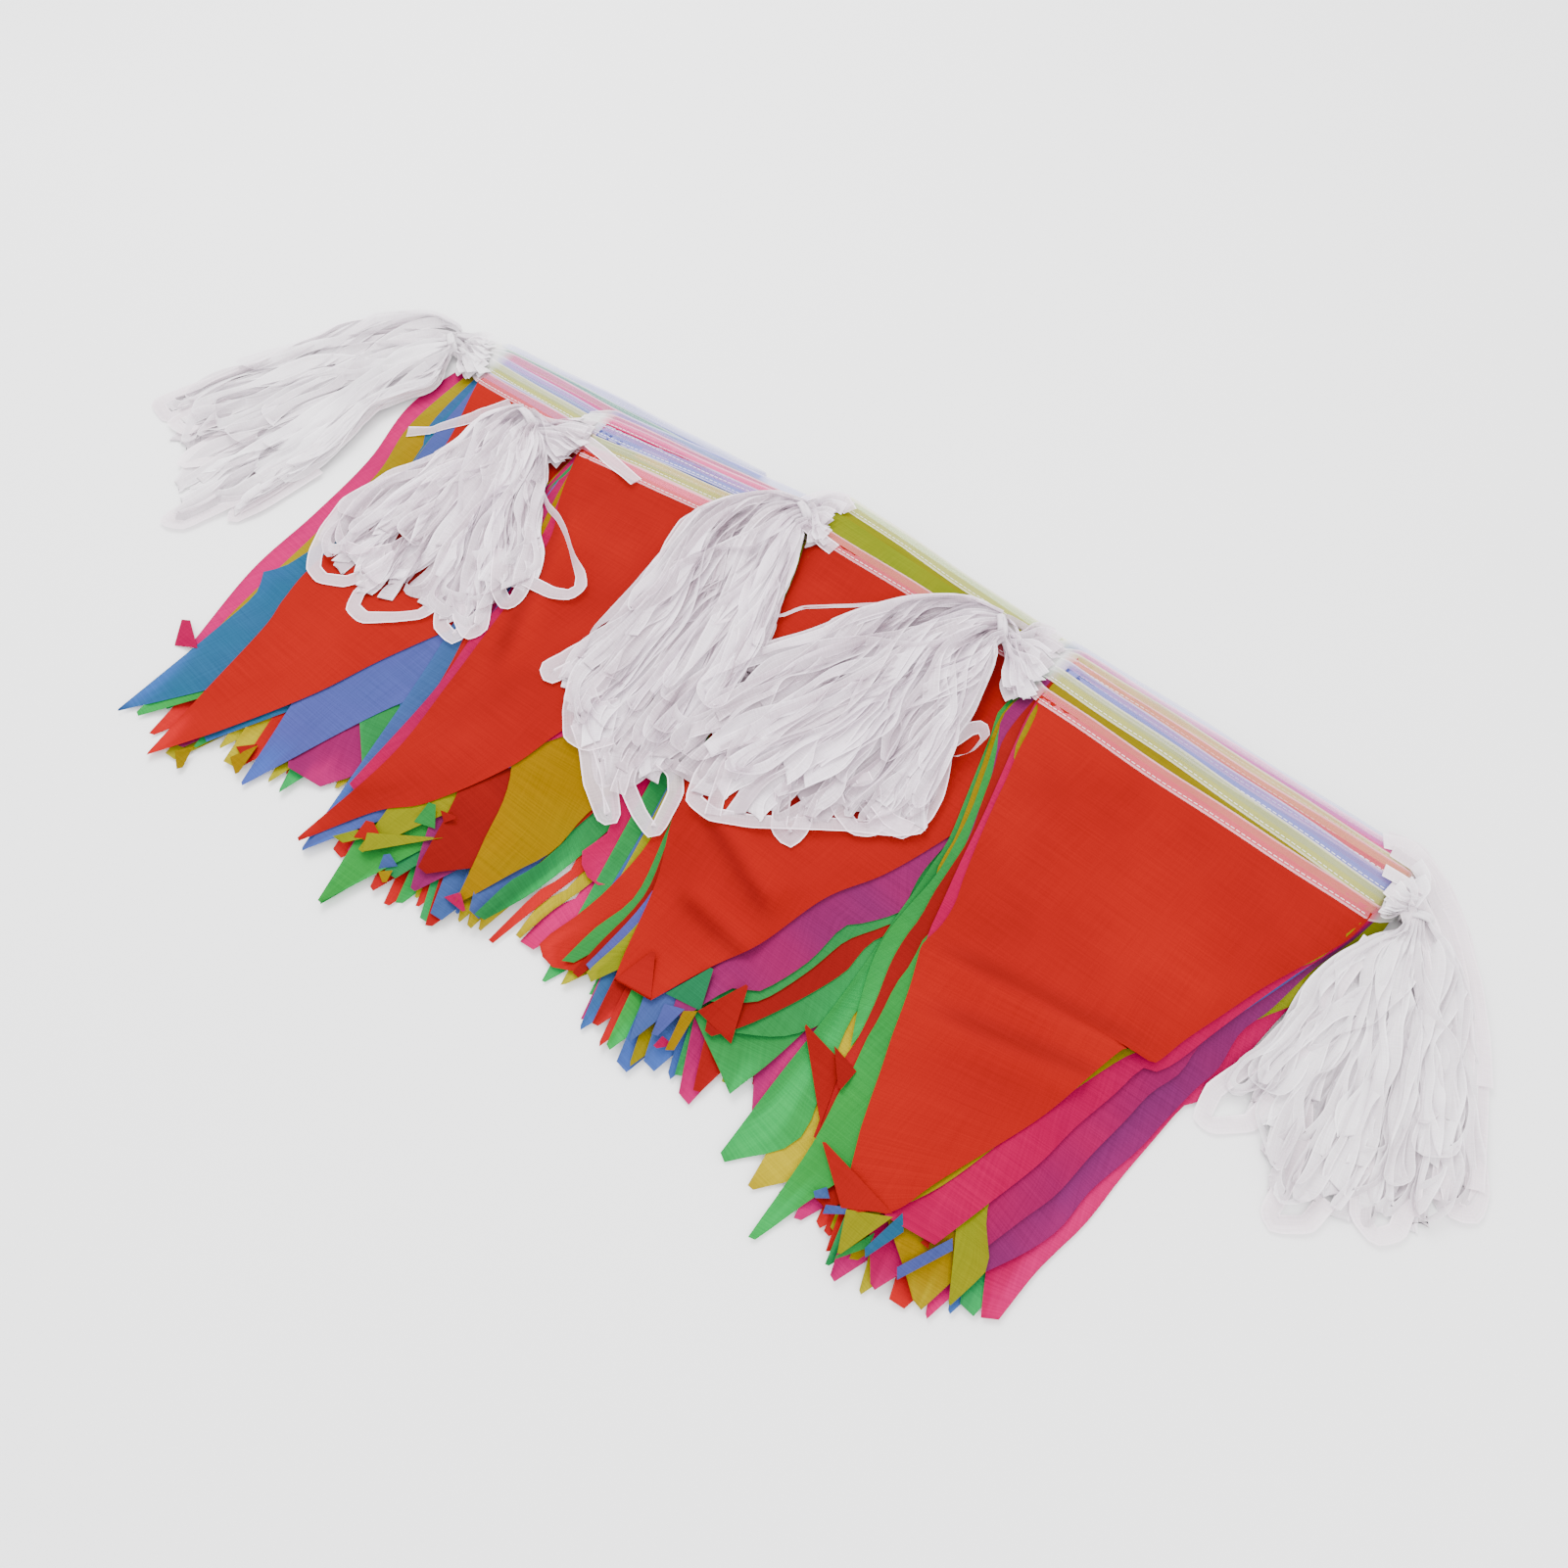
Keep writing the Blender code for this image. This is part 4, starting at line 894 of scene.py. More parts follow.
@dataclass
class PennantStack:
    """Lays one stack, pennant on pennant, each with its bound heading.

    tuck is how far a pennant goes under its tape. gap is the space left between two pennants, and a pennant
    that isn't bound has loose times as much.
    """

    plan: StackPlan
    ground: HeightMap
    shift: np.ndarray
    nodes: Sequence[str]
    rows: int = 44
    columns: int = 26
    side_points: int = 160
    tuck: float = 5 * MM
    ridge_height: float = 4.0 * MM
    gap: float = 0.26 * MM
    loose: float = 2.5
    ripple_height: float = 0.32 * MM
    top_ripple_height: float = 0.9 * MM
    curled_from: float = 0.72
    tape_gap: float = 0.30 * MM
    softness: int = 9
    tape_length: float = 0.0
    seams: list[np.ndarray] = field(default_factory=list)

    def __post_init__(self) -> None:
        """Starts one mesh for each colour and one for the tape."""
        self.random = np.random.default_rng(sum(map(ord, self.plan.name)))
        self.cloths = {cloth: Fabric(f"{self.plan.name}_{cloth.value}_pennants") for cloth in Cloth}
        self.tape = Fabric(f"{self.plan.name}_heading_tape")
        self.along, self.across = unit(self.plan.turn), unit(self.plan.turn + 90)

    def heading(self, leaf: Leaf) -> tuple[np.ndarray, np.ndarray]:
        """Both ends of the line just below a pennant's tape, in metres."""
        corner = np.array(self.plan.corner, float)
        left = corner + self.across * leaf.back[0] + self.along * leaf.slide[0]
        right = corner + self.along * (self.plan.width + leaf.slide[1]) + self.across * leaf.back[1]
        return left * MM, right * MM

    def hidden_leaves(self) -> list[Leaf]:
        """The pennants of which only the tips show."""
        leaves = []
        corner = np.array(self.plan.corner)
        end = corner + self.along * self.plan.width
        for cloth, x, y in self.plan.tips:
            tip = np.array([x, y])
            blunt = self.random.choice((0.8, 0.8, 1.5, 3.5))
            bend = self.random.uniform(-7, 7, 4)
            deep = self.random.uniform(0.6, 0.96)
            sides = []
            for start, below, sway, point in (
                (corner, (4, -45), bend[0], (x - blunt, y)),
                (end, (-4, -45), bend[1], (x + blunt, y + bend[2] * 0.3)),
            ):
                middle = start * 0.42 + tip * 0.58 + (sway, 0)
                sides.append((tuple((start + below) * 0.8 + middle * 0.2), tuple(middle), point))
            back = (self.plan.trail[0] * deep, self.plan.trail[1] * deep)
            curl = self.random.uniform(0.5, 2.2)
            slide = (self.random.uniform(-2, 3), self.random.uniform(-3, 2))
            leaves.append(Leaf(cloth, back, *sides, curl=curl, slide=slide))
        return leaves

    def ripple(self, flat: np.ndarray, height: float) -> np.ndarray:
        """Low waves over a pennant, never below nothing."""
        waves = np.zeros(flat.shape[:2])
        lengths_and_shares = ((0.16, 0.45), (0.085, 0.3), (0.034, 0.17), (0.019, 0.08))
        for length, share in lengths_and_shares:
            turn, phase = self.random.uniform(0, TURN, 2)
            spread = flat[..., 0] * math.cos(turn) + flat[..., 1] * math.sin(turn)
            waves += share * (1 + np.sin(TURN * spread / length + phase)) / 2
        return waves * height

    def settled(self, plan: np.ndarray, softness: int, lift: np.ndarray) -> np.ndarray:
        """Points of a sheet, seen at plan, that rests a lift above what is below."""
        spot, lowest = plan, 0.1 * MM
        for _ in range(2):
            z = np.maximum(self.ground.draped(spot[..., 0], spot[..., 1], softness) + lift, lowest)
            spot = sighted(plan, z, self.plan.plane * MM)
        return np.dstack([spot, z])

    def lay(self, leaf: Leaf, top: bool) -> None:
        """Lays one pennant on what is below, and its tape along its heading."""
        ends = self.heading(leaf)
        sides = [
            smooth_curve([end, *(np.array(side) * MM)], self.side_points)
            for end, side in zip(ends, (leaf.left, leaf.right))
        ]
        u = np.linspace(0, 1, self.columns)
        rows = np.linspace(0, 1, self.rows * (2 if top else 1))
        share = np.linspace(0, 1, self.side_points)
        left_fold, right_fold = leaf.fold or (1.0, 1.0)
        limit = left_fold + (right_fold - left_fold) * u

        def place(v: np.ndarray) -> np.ndarray:
            """Plan points of the pennant for shares v of its height, one row of them after another."""
            edges = [np.stack([np.interp(v, share, side[:, k]) for k in (0, 1)], -1) for side in sides]
            return edges[0] * (1 - u)[None, :, None] + edges[1] * u[None, :, None]

        v = rows[:, None] * limit[None, :]
        tuck = self.across * self.tuck
        plan = np.concatenate([place(v[:1]) + tuck, place(v[:1]) + tuck * 0.5, place(v)])
        v = np.concatenate([v[:1] - 0.032, v[:1] - 0.016, v])
        width = np.linalg.norm(ends[1] - ends[0])
        offset = self.random.uniform(0, 3, 2)
        flat = np.stack([(u - 0.5) * width * (1 - v), -v * PENNANT_LENGTH], -1)
        ripples = self.ripple(flat, self.top_ripple_height if top else self.ripple_height)
        curl = leaf.curl * MM * np.clip((v - self.curled_from) / (1 - self.curled_from), 0, 1) ** 2
        lopsided = 1 + self.random.uniform(-0.8, 0.8) * (2 * u - 1)
        lift = self.gap * (1 if leaf.bound else self.loose) + ripples + curl * lopsided
        # Painted shade: the tone is lower in the dips of the ripples and higher on their crests.
        shade = 0.3 * (ripples / ripples.max() - 0.5)
        for crease in leaf.creases:
            # Each crease lifts the cloth and paints its shade into the tone.
            height, painted_crease_shade = self.ridge(plan, crease)
            lift, shade = lift + height, shade - painted_crease_shade
        points = self.settled(plan, self.softness, lift)
        light = blurred(self.ground.light(points), 2)
        self.ground.press(points)
        tone = self.random.uniform(0.1, 0.9) if leaf.tone is None else leaf.tone
        patch = Patch(points, flat + offset, tone + shade, light)
        if leaf.fold:
            self.turn_back(leaf, patch, place, limit)
        self.cloths[leaf.cloth].add(patch)
        if leaf.bound:
            self.lay_tape(*ends, leaf.back, TAPE_TINTS[leaf.cloth])

    def ridge(self, plan: np.ndarray, crease: Line) -> tuple[np.ndarray, np.ndarray]:
        """Height of a soft fold in the cloth that runs between two points of the plan in mm, and its painted
        shade: darker on the steep side, lighter on the other.
        """
        first, last = (np.array(point) * MM for point in crease)
        way = last - first
        length = np.linalg.norm(way)
        way = way / length
        offset = plan - first
        along = offset @ way / length
        away = offset @ np.array([-way[1], way[0]])
        fade = smooth_step(along / 0.25) * smooth_step((1 - along) / 0.25)
        # Painted shade in a band on the steep side of the fold, painted light in a wider band on the other side.
        painted_crease_shade = 0.55 * bell(away + 5 * MM, 5 * MM) - 0.2 * bell(away - 4 * MM, 8 * MM)
        steep = np.where(away > 0, 12 * MM, 5 * MM)
        return self.ridge_height * fade * bell(away, steep), fade * painted_crease_shade

    def lay_flap(self, flap: Flap) -> None:
        """Lays a turned-up tip on all that is there."""
        first, second, tip = (np.array(point) * MM for point in flap.corners)
        along = np.linspace(0, 1, 12)[:, None, None]
        across = np.linspace(0, 1, 7)[None, :, None]
        side = (second - first) / np.linalg.norm(second - first) * flap.blunt * MM / 2
        base = first * (1 - across) + second * across
        top = (tip - side) * (1 - across) + (tip + side) * across
        plan = base * (1 - along) + top * along
        lift = (0.3 + 2.2 * along[..., 0] ** 2 + 0.8 * np.sin(3 * along[..., 0])) * MM * np.ones(7)
        points = self.settled(plan, 6, lift)
        points[0, :, 2] -= 0.25 * MM
        self.ground.press(points)
        self.cloths[flap.cloth].add(Patch(points, plan + self.random.uniform(0, 3, 2), flap.tone))

    def turn_back(
        self, leaf: Leaf, patch: Patch, place: Callable[[np.ndarray], np.ndarray], limit: np.ndarray
    ) -> None:
        """Adds a turned-back tip to a pennant that is laid as far as its fold.

        Args:
            leaf: The pennant.
            patch: The part above the fold.
            place: Gives plan points from shares of the height.
            limit: The share of the height at which each column folds.
        """
        beyond = np.linspace(0, 1, 12)[1:, None]
        v = limit[None, :] + (1 - limit)[None, :] * beyond
        crease = place(limit[None, :])[0]
        plan = mirrored(place(v), crease[0], crease[-1])
        flap = self.settled(plan, 2, (0.35 + leaf.curl * beyond**2) * MM * np.ones(self.columns))
        patch.points[-1, :, 2] = (patch.points[-1, :, 2] + flap[0, :, 2]) / 2
        self.ground.press(flap)
        back = patch.tone.mean() - 0.25
        patch.tone = np.concatenate([patch.tone, np.full(flap.shape[:2], back)])
        last = patch.flat[-1:] - [0, PENNANT_LENGTH] * (v - limit)[..., None]
        patch.points = np.concatenate([patch.points, flap])
        patch.flat = np.concatenate([patch.flat, last])
        patch.light = np.concatenate([patch.light, np.full(flap.shape[:2], 0.1)])

    def lay_tape(self, left_end: np.ndarray, right_end: np.ndarray, back: Point, hue: Tint) -> None:
        """Lays the folded tape over a pennant's top edge, and white beyond it.

        Args:
            left_end: Where the pennant begins.
            right_end: Where it ends.
            back: How far it lies behind the top one at both ends, in mm.
            hue: The tint that the cloth gives the tape.
        """
        steps, bare = 52, (15 * MM, 9 * MM)
        middle = np.linspace(0, 1, steps)[:, None]
        path = (left_end - self.along * bare[0]) * (1 - middle) + (right_end + self.along * bare[1]) * middle
        length = np.linalg.norm(path[-1] - path[0])
        ends = [np.clip(1 - share * length / gap, 0, 1) for share, gap in zip((middle, 1 - middle), bare)]
        gather = [
            end**1.5 * (trail / 2 - own) * 0.5 * MM for end, trail, own in zip(ends, self.plan.trail, back)
        ]
        wave = self.random.uniform(0, TURN, 2)
        wobble = 0.5 * MM * (np.sin(middle * 7 + wave[0]) + 0.6 * np.sin(middle * 17 + wave[1]))
        path = path + self.across * (wobble + gather[0] + gather[1])
        shares = np.array([-0.04, 0.0, 0.14, 0.5, 0.86, 1.0, 1.02])
        drop = np.array([-0.25, 0.0, 0.06, 0.10, 0.10, 0.04, -0.45]) * MM
        plan = path[:, None] + self.across * (shares * TAPE_WIDTH)[None, :, None]
        points = self.settled(plan, 3, np.broadcast_to(self.tape_gap + drop, plan.shape[:2]))
        self.ground.press(points)
        flat = np.stack(np.broadcast_arrays(middle * length, (shares - 0.5) * TAPE_WIDTH), -1)
        start = [self.random.uniform(0, 3), 0]
        white = smooth_step(np.maximum(*ends) * 3)[..., None]
        tint = (1 - white) * np.array(hue) + white
        self.tape.add(Patch(points, flat + start, self.random.uniform(0.3, 0.7), 0.0, tint))
        self.tape_length += float(length)
        self.seams.append((points[3:-3, 2] * 0.85 + points[3:-3, 3] * 0.15) + [0, 0, 0.02 * MM])

    def build(
        self, finishes: dict[Cloth, bpy.types.Material], tape: bpy.types.Material
    ) -> list[bpy.types.Object]:
        """Lays the whole stack and makes its objects.

        Args:
            finishes: The cloth of each colour.
            tape: The finish of the headings.

        Returns:
            The pieces of the stack.
        """
        leaves = [*self.hidden_leaves(), *self.plan.leaves]
        for leaf in leaves:
            self.lay(leaf, leaf is leaves[-1])
        for flap in self.plan.flaps:
            self.lay_flap(flap)
        pieces = []
        for cloth, fabric in self.cloths.items():
            piece = fabric.build(self.shift, finishes[cloth])
            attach(piece, "root")
            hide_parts(*self.pennants(cloth))
            pieces.append(piece)
        band = self.tape.build(self.shift, tape)
        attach(band, "root")
        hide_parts(f"{self.plan.name}_tape")
        LOG.info("%s stack: %d pennants, %.2f m of tape", self.plan.name, len(leaves), self.tape_length)
        return [*pieces, band]

    def pennants(self, cloth: Cloth) -> list[str]:
        """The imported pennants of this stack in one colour."""
        start = f"{self.plan.name}_pennant"
        return [name for name in self.nodes if name.startswith(start) and name.endswith(cloth.value)]


# ---------------------------------------------------------------- what the hanks hold, in mm


class Lie(Enum):
    """How a tape lies: flat, on its edge, turning from edge to flat, or drawn thin as a string."""

    FLAT = "flat"
    EDGE = "edge"
    TWIST = "twist"
    STRING = "string"

    def roll(self, steps: np.ndarray, phase: float) -> np.ndarray:
        """How far the tape is turned about its length at each step, in radians."""
        ease = 0.22 * np.sin(steps * 8 + phase)
        if self is Lie.TWIST:
            return 1.35 * (1 - smooth_step((steps - 0.35) / 0.35)) + ease * steps
        return (1.0 if self is Lie.EDGE else 0.0) + ease


class LoopEnd(Enum):
    """How a loop of tape turns at its end: folded flat on itself, or round, standing on edge."""

    FOLDED = "folded"
    ROUND = "round"


@dataclass(frozen=True)
class Strand:
    """A length of tape that stands out from a hank, seen against the floor, in mm."""

    line: Line
    lie: Lie = Lie.FLAT


@dataclass(frozen=True)
class HankPlan:
    """A hank, in mm where its lines of sight meet the floor.

    rails run along the hank from its knot to its end, one beside the other; its loops lie between them. puff
    holds the same for the gathered tapes on the other side of the knot. strands are lengths that stand out,
    with the share strands_after of the loops below them.
    """

    name: str
    knot: Point
    rails: tuple[Line, ...] = ()
    puff: tuple[Line, ...] = ()
    strands: tuple[Strand, ...] = ()
    strands_after: float = 0.62
    pale: bool = False


HANKS = (
    HankPlan(
        name="far_left", knot=(-391, 124), pale=True,
        rails=(
            line(-399, 139, -424, 135, -444, 117, -459, 96, -471, 57, -485, 19, -492, -14, -495, -35),
            line(-395, 132, -416, 119, -437, 86, -451, 41, -467, -2, -478, -38),
            line(-392, 125, -407, 103, -416, 68, -424, 27, -433, -13, -447, -44, -439, -58),
            line(-389, 121, -401, 93, -401, 60, -396, 28, -397, -11, -403, -51, -402, -91),
            line(-386, 115, -391, 89, -390, 59, -385, 34, -378, 5, -381, -31, -380, -64),
            line(-381, 109, -373, 88, -381, 69, -387, 50, -380, 26, -375, -6, -377, -27, -377, -64),
        ),
        puff=(
            line(-398, 136, -383, 142, -367, 146),
            line(-393, 130, -376, 131, -358, 132),
            line(-390, 125, -368, 120, -344, 114),
            line(-386, 118, -371, 111, -357, 107),
        ),
        strands=(
            Strand(line(-417, 128, -444, 100, -465, 52, -480, 8, -491, -23, -494, -35, -477, -39, -464, -6,
                -452, 33)),
            Strand(line(-416, 119, -442, 82, -456, 28, -467, -14, -471, -39, -458, -39, -445, -11)),
            Strand(line(-407, 85, -431, 24, -437, -24, -439, -49, -435, -58, -425, -46, -416, -4,
                -408, 38)),
            Strand(line(-392, 81, -392, 16, -396, -45, -404, -82, -403, -94, -392, -89, -385, -58,
                -380, -17)),
            Strand(line(-387, 68, -377, 12, -376, -35, -378, -61, -374, -67, -371, -52, -368, -7)),
        ),
    ),
    HankPlan(
        name="left", knot=(-302, 106),
        rails=(
            line(-316, 108, -322, 86, -318, 64, -322, 36, -333, 18, -338, -11, -327, -33, -314, -53),
            line(-311, 105, -308, 75, -306, 37, -306, 5, -306, -21, -304, -40, -302, -58),
            line(-306, 102, -296, 68, -287, 28, -279, -6, -273, -34, -267, -60),
            line(-301, 99, -283, 65, -265, 24, -250, -9, -242, -28, -239, -46),
            line(-295, 97, -271, 62, -250, 26, -228, -6, -212, -31, -205, -44),
            line(-293, 99, -264, 67, -237, 37, -217, 14, -201, -5),
            line(-291, 103, -265, 83, -239, 56, -215, 35, -200, 18),
        ),
        puff=(
            line(-307, 116, -293, 118, -271, 130, -255, 136),
            line(-301, 111, -282, 110, -262, 112, -245, 114),
            line(-297, 105, -279, 99, -263, 97, -249, 95),
            line(-295, 102, -279, 94, -265, 89, -251, 87),
        ),
        strands=(
            Strand(line(-333, 18, -337, -12, -329, -30, -317, -51, -307, -61, -297, -63, -285, -56,
                -278, -40, -277, -23)),
            Strand(line(-272, -35, -271, -57, -266, -66, -255, -67, -242, -56, -232, -45, -231, -33,
                -239, -21)),
            Strand(line(-250, 68, -235, 60, -224, 57, -211, 51, -198, 43, -185, 36, -178, 29, -179, 21,
                -189, 15, -205, 11, -224, 5), Lie.TWIST),
            Strand(line(-259, -2, -232, -28, -217, -43, -204, -45, -206, -35, -225, -13)),
            Strand(line(-240, 14, -218, -7, -199, -29, -201, -37, -213, -32, -242, -8)),
            Strand(line(-233, 19, -213, -3, -201, -8, -199, -3, -205, 13, -219, 32)),
            Strand(line(-335, -8, -326, -27, -308, -38, -292, -35, -283, -22), Lie.EDGE),
            Strand(line(-321, 110, -326, 94, -333, 78, -342, 62, -353, 51)),
        ),
    ),
    HankPlan(
        name="middle", knot=(-115, 155),
        rails=(
            line(-126, 161, -140, 153, -155, 134, -163, 110, -159, 80, -152, 55, -149, 24, -150, 3,
            -148, -20),
            line(-123, 157, -134, 141, -141, 109, -136, 73, -133, 37, -131, 7, -128, -22, -112, -44),
            line(-120, 154, -122, 131, -116, 90, -107, 50, -100, 10, -94, -20, -90, -45, -75, -62),
            line(-117, 150, -112, 124, -100, 84, -89, 46, -79, 11, -73, -19, -64, -44, -47, -58),
            line(-114, 148, -102, 121, -87, 86, -75, 57, -62, 19, -50, -21),
            line(-110, 145, -98, 123, -87, 103, -75, 80, -66, 60),
        ),
        puff=(
            line(-121, 166, -115, 176, -102, 184, -85, 188),
            line(-117, 163, -109, 168, -99, 169),
            line(-112, 158, -103, 157, -94, 153),
            line(-108, 151, -98, 147, -85, 146),
            line(-108, 148, -100, 142, -93, 137),
        ),
        strands=(
            Strand(line(-149, 140, -161, 120, -164, 104, -159, 86, -152, 70, -144, 55, -138, 39)),
            Strand(line(-136, 24, -143, 4, -147, -13, -150, -25, -143, -29, -139, -16)),
            Strand(line(-123, -11, -129, -24, -119, -38, -106, -50, -95, -49, -88, -37)),
            Strand(line(-109, -42, -92, -52, -75, -66, -56, -76, -53, -73, -70, -58, -90, -45)),
            Strand(line(-71, -29, -65, -46, -60, -55, -45, -62, -33, -65, -34, -58, -40, -40, -48, -32,
                -57, -32)),
            Strand(line(-107, -6, -122, -8, -120, -21, -108, -26, -102, -18), Lie.EDGE),
            Strand(line(-72, -36, -67, -48, -60, -62)),
            Strand(line(-109, 143, -119, 154, -122, 166, -116, 177, -105, 180, -95, 175)),
            Strand(line(-123, 157, -111, 149, -99, 147, -83, 145)),
        ),
    ),
    HankPlan(
        name="right", knot=(26, 159),
        rails=(
            line(14, 167, -1, 162, -21, 145, -39, 117, -54, 83, -73, 54, -81, 14, -82, -18, -81, -37),
            line(17, 163, 3, 150, -15, 121, -32, 79, -43, 34, -50, -5, -50, -29),
            line(19, 160, 8, 140, -2, 104, -11, 62, -20, 23, -26, -11, -21, -37),
            line(22, 156, 12, 130, 8, 90, 8, 47, 4, 12, 2, -9, 7, -25),
            line(24, 153, 21, 128, 22, 94, 28, 56, 31, 26, 30, 4, 33, -8),
            line(27, 151, 32, 130, 38, 100, 44, 70, 50, 43, 56, 24, 60, 14),
            line(29, 149, 35, 133, 44, 104, 52, 83, 59, 58, 64, 38, 70, 24),
        ),
        puff=(
            line(21, 170, 31, 175, 47, 177, 68, 177),
            line(25, 166, 38, 165, 56, 164, 71, 161),
            line(28, 161, 43, 154, 58, 147, 69, 141),
            line(30, 157, 45, 144, 60, 131, 73, 122),
            line(31, 153, 43, 137, 53, 126, 66, 119),
        ),
        strands=(
            Strand(line(-10, 120, 10, 92, 31, 67, 52, 44, 70, 24, 62, 15, 43, 3, 23, -12, 3, -27, -16, -38,
                -30, -37, -37, -23, -40, -5, -32, 13)),
            Strand(line(27, 137, 37, 110, 48, 85, 57, 65, 65, 45, 68, 31, 65, 16, 53, 14, 39, 19),
                Lie.TWIST),
            Strand(line(53, 59, 51, 73, 54, 91, 58, 96, 63, 92, 63, 79, 58, 71), Lie.EDGE),
            Strand(line(-34, 8, -29, -12, -21, -29, -16, -38)),
            Strand(line(-8, 9, 5, -7, 15, -22, 24, -24, 24, -15, 16, 2)),
            Strand(line(19, 16, 31, 7, 45, 2, 52, 7, 53, 18)),
            Strand(line(27, 31, 41, 23, 56, 18, 68, 20)),
            Strand(line(7, 166, -10, 150, -35, 129, -57, 111, -69, 99, -75, 88, -86, 77, -100, 58,
                -108, 43), Lie.STRING),
        ),
    ),
    HankPlan(
        name="far_right", knot=(288, 138), strands_after=0.8, pale=True,
        rails=(
            line(286, 129, 278, 113, 269, 89, 266, 65, 265, 36, 259, 19, 260, -7),
            line(288, 129, 286, 105, 282, 72, 278, 43, 277, 18, 280, 1),
            line(290, 129, 293, 101, 296, 65, 297, 29, 299, 2, 301, -22, 304, -36),
            line(291, 130, 298, 99, 307, 62, 315, 26, 321, -3, 319, -24),
            line(293, 131, 306, 99, 320, 60, 329, 27, 338, 1, 342, -11),
            line(293, 133, 311, 104, 330, 69, 345, 34, 352, 10, 356, 4),
            line(293, 138, 308, 130, 326, 110, 344, 81, 359, 52, 366, 35, 367, 24),
        ),
        puff=(
            line(288, 144, 289, 154, 280, 164, 269, 171),
            line(287, 141, 284, 150, 276, 156, 269, 159),
            line(287, 138, 281, 142, 275, 144, 268, 146),
            line(287, 134, 280, 133, 274, 132, 269, 132),
        ),
        strands=(
            Strand(line(256, 170, 271, 173, 290, 164, 309, 145, 328, 118, 344, 87, 355, 60, 366, 32)),
            Strand(line(261, 165, 278, 164, 299, 147, 318, 122, 335, 91, 348, 60, 358, 34)),
            Strand(line(263, 153, 279, 153, 296, 138, 315, 113, 331, 82, 344, 51, 356, 18)),
            Strand(line(269, 147, 282, 143, 298, 122, 315, 94, 329, 62, 340, 30, 349, 4)),
            Strand(line(255, 167, 267, 172, 285, 166, 303, 151, 323, 126, 338, 101, 349, 79)),
            Strand(line(276, 114, 275, 86, 276, 58, 282, 35, 295, 10, 301, -14, 302, -33, 306, -37,
                317, -28, 319, -13)),
            Strand(line(268, 32, 261, 16, 256, -1, 258, -16, 264, -16, 276, -4, 278, 13)),
            Strand(line(314, 38, 324, 11, 332, -10, 342, -14, 348, -6, 346, 10)),
            Strand(line(336, 62, 351, 34, 363, 18, 370, 22, 368, 34, 356, 55)),
        ),
    ),
)

LOOSE_END = Strand(line(-274, 118, -257, 116, -236, 113, -210, 110))


# ---------------------------------------------------------------- hanks


def fan_point(fan: np.ndarray, across: np.ndarray, along: np.ndarray) -> np.ndarray:
    """Points between the rails of a fan, at shares of its width and of its length."""
    rails, steps = fan.shape[:2]
    return between(fan, np.clip(across, 0, 1) * (rails - 1), np.clip(along, 0, 1) * (steps - 1))


@dataclass(frozen=True)
class Loop:
    """What a loop of tape is laid by.

    legs are the paths of its two legs from the knot, t the share of a leg at which each point lies, and reach
    a leg's length. lean is the side to which the tape leans, -1 or 1, narrow its width as gathered, and level
    its height in the neck.
    """

    legs: list[np.ndarray]
    t: np.ndarray
    reach: float
    lean: int
    narrow: float
    level: float


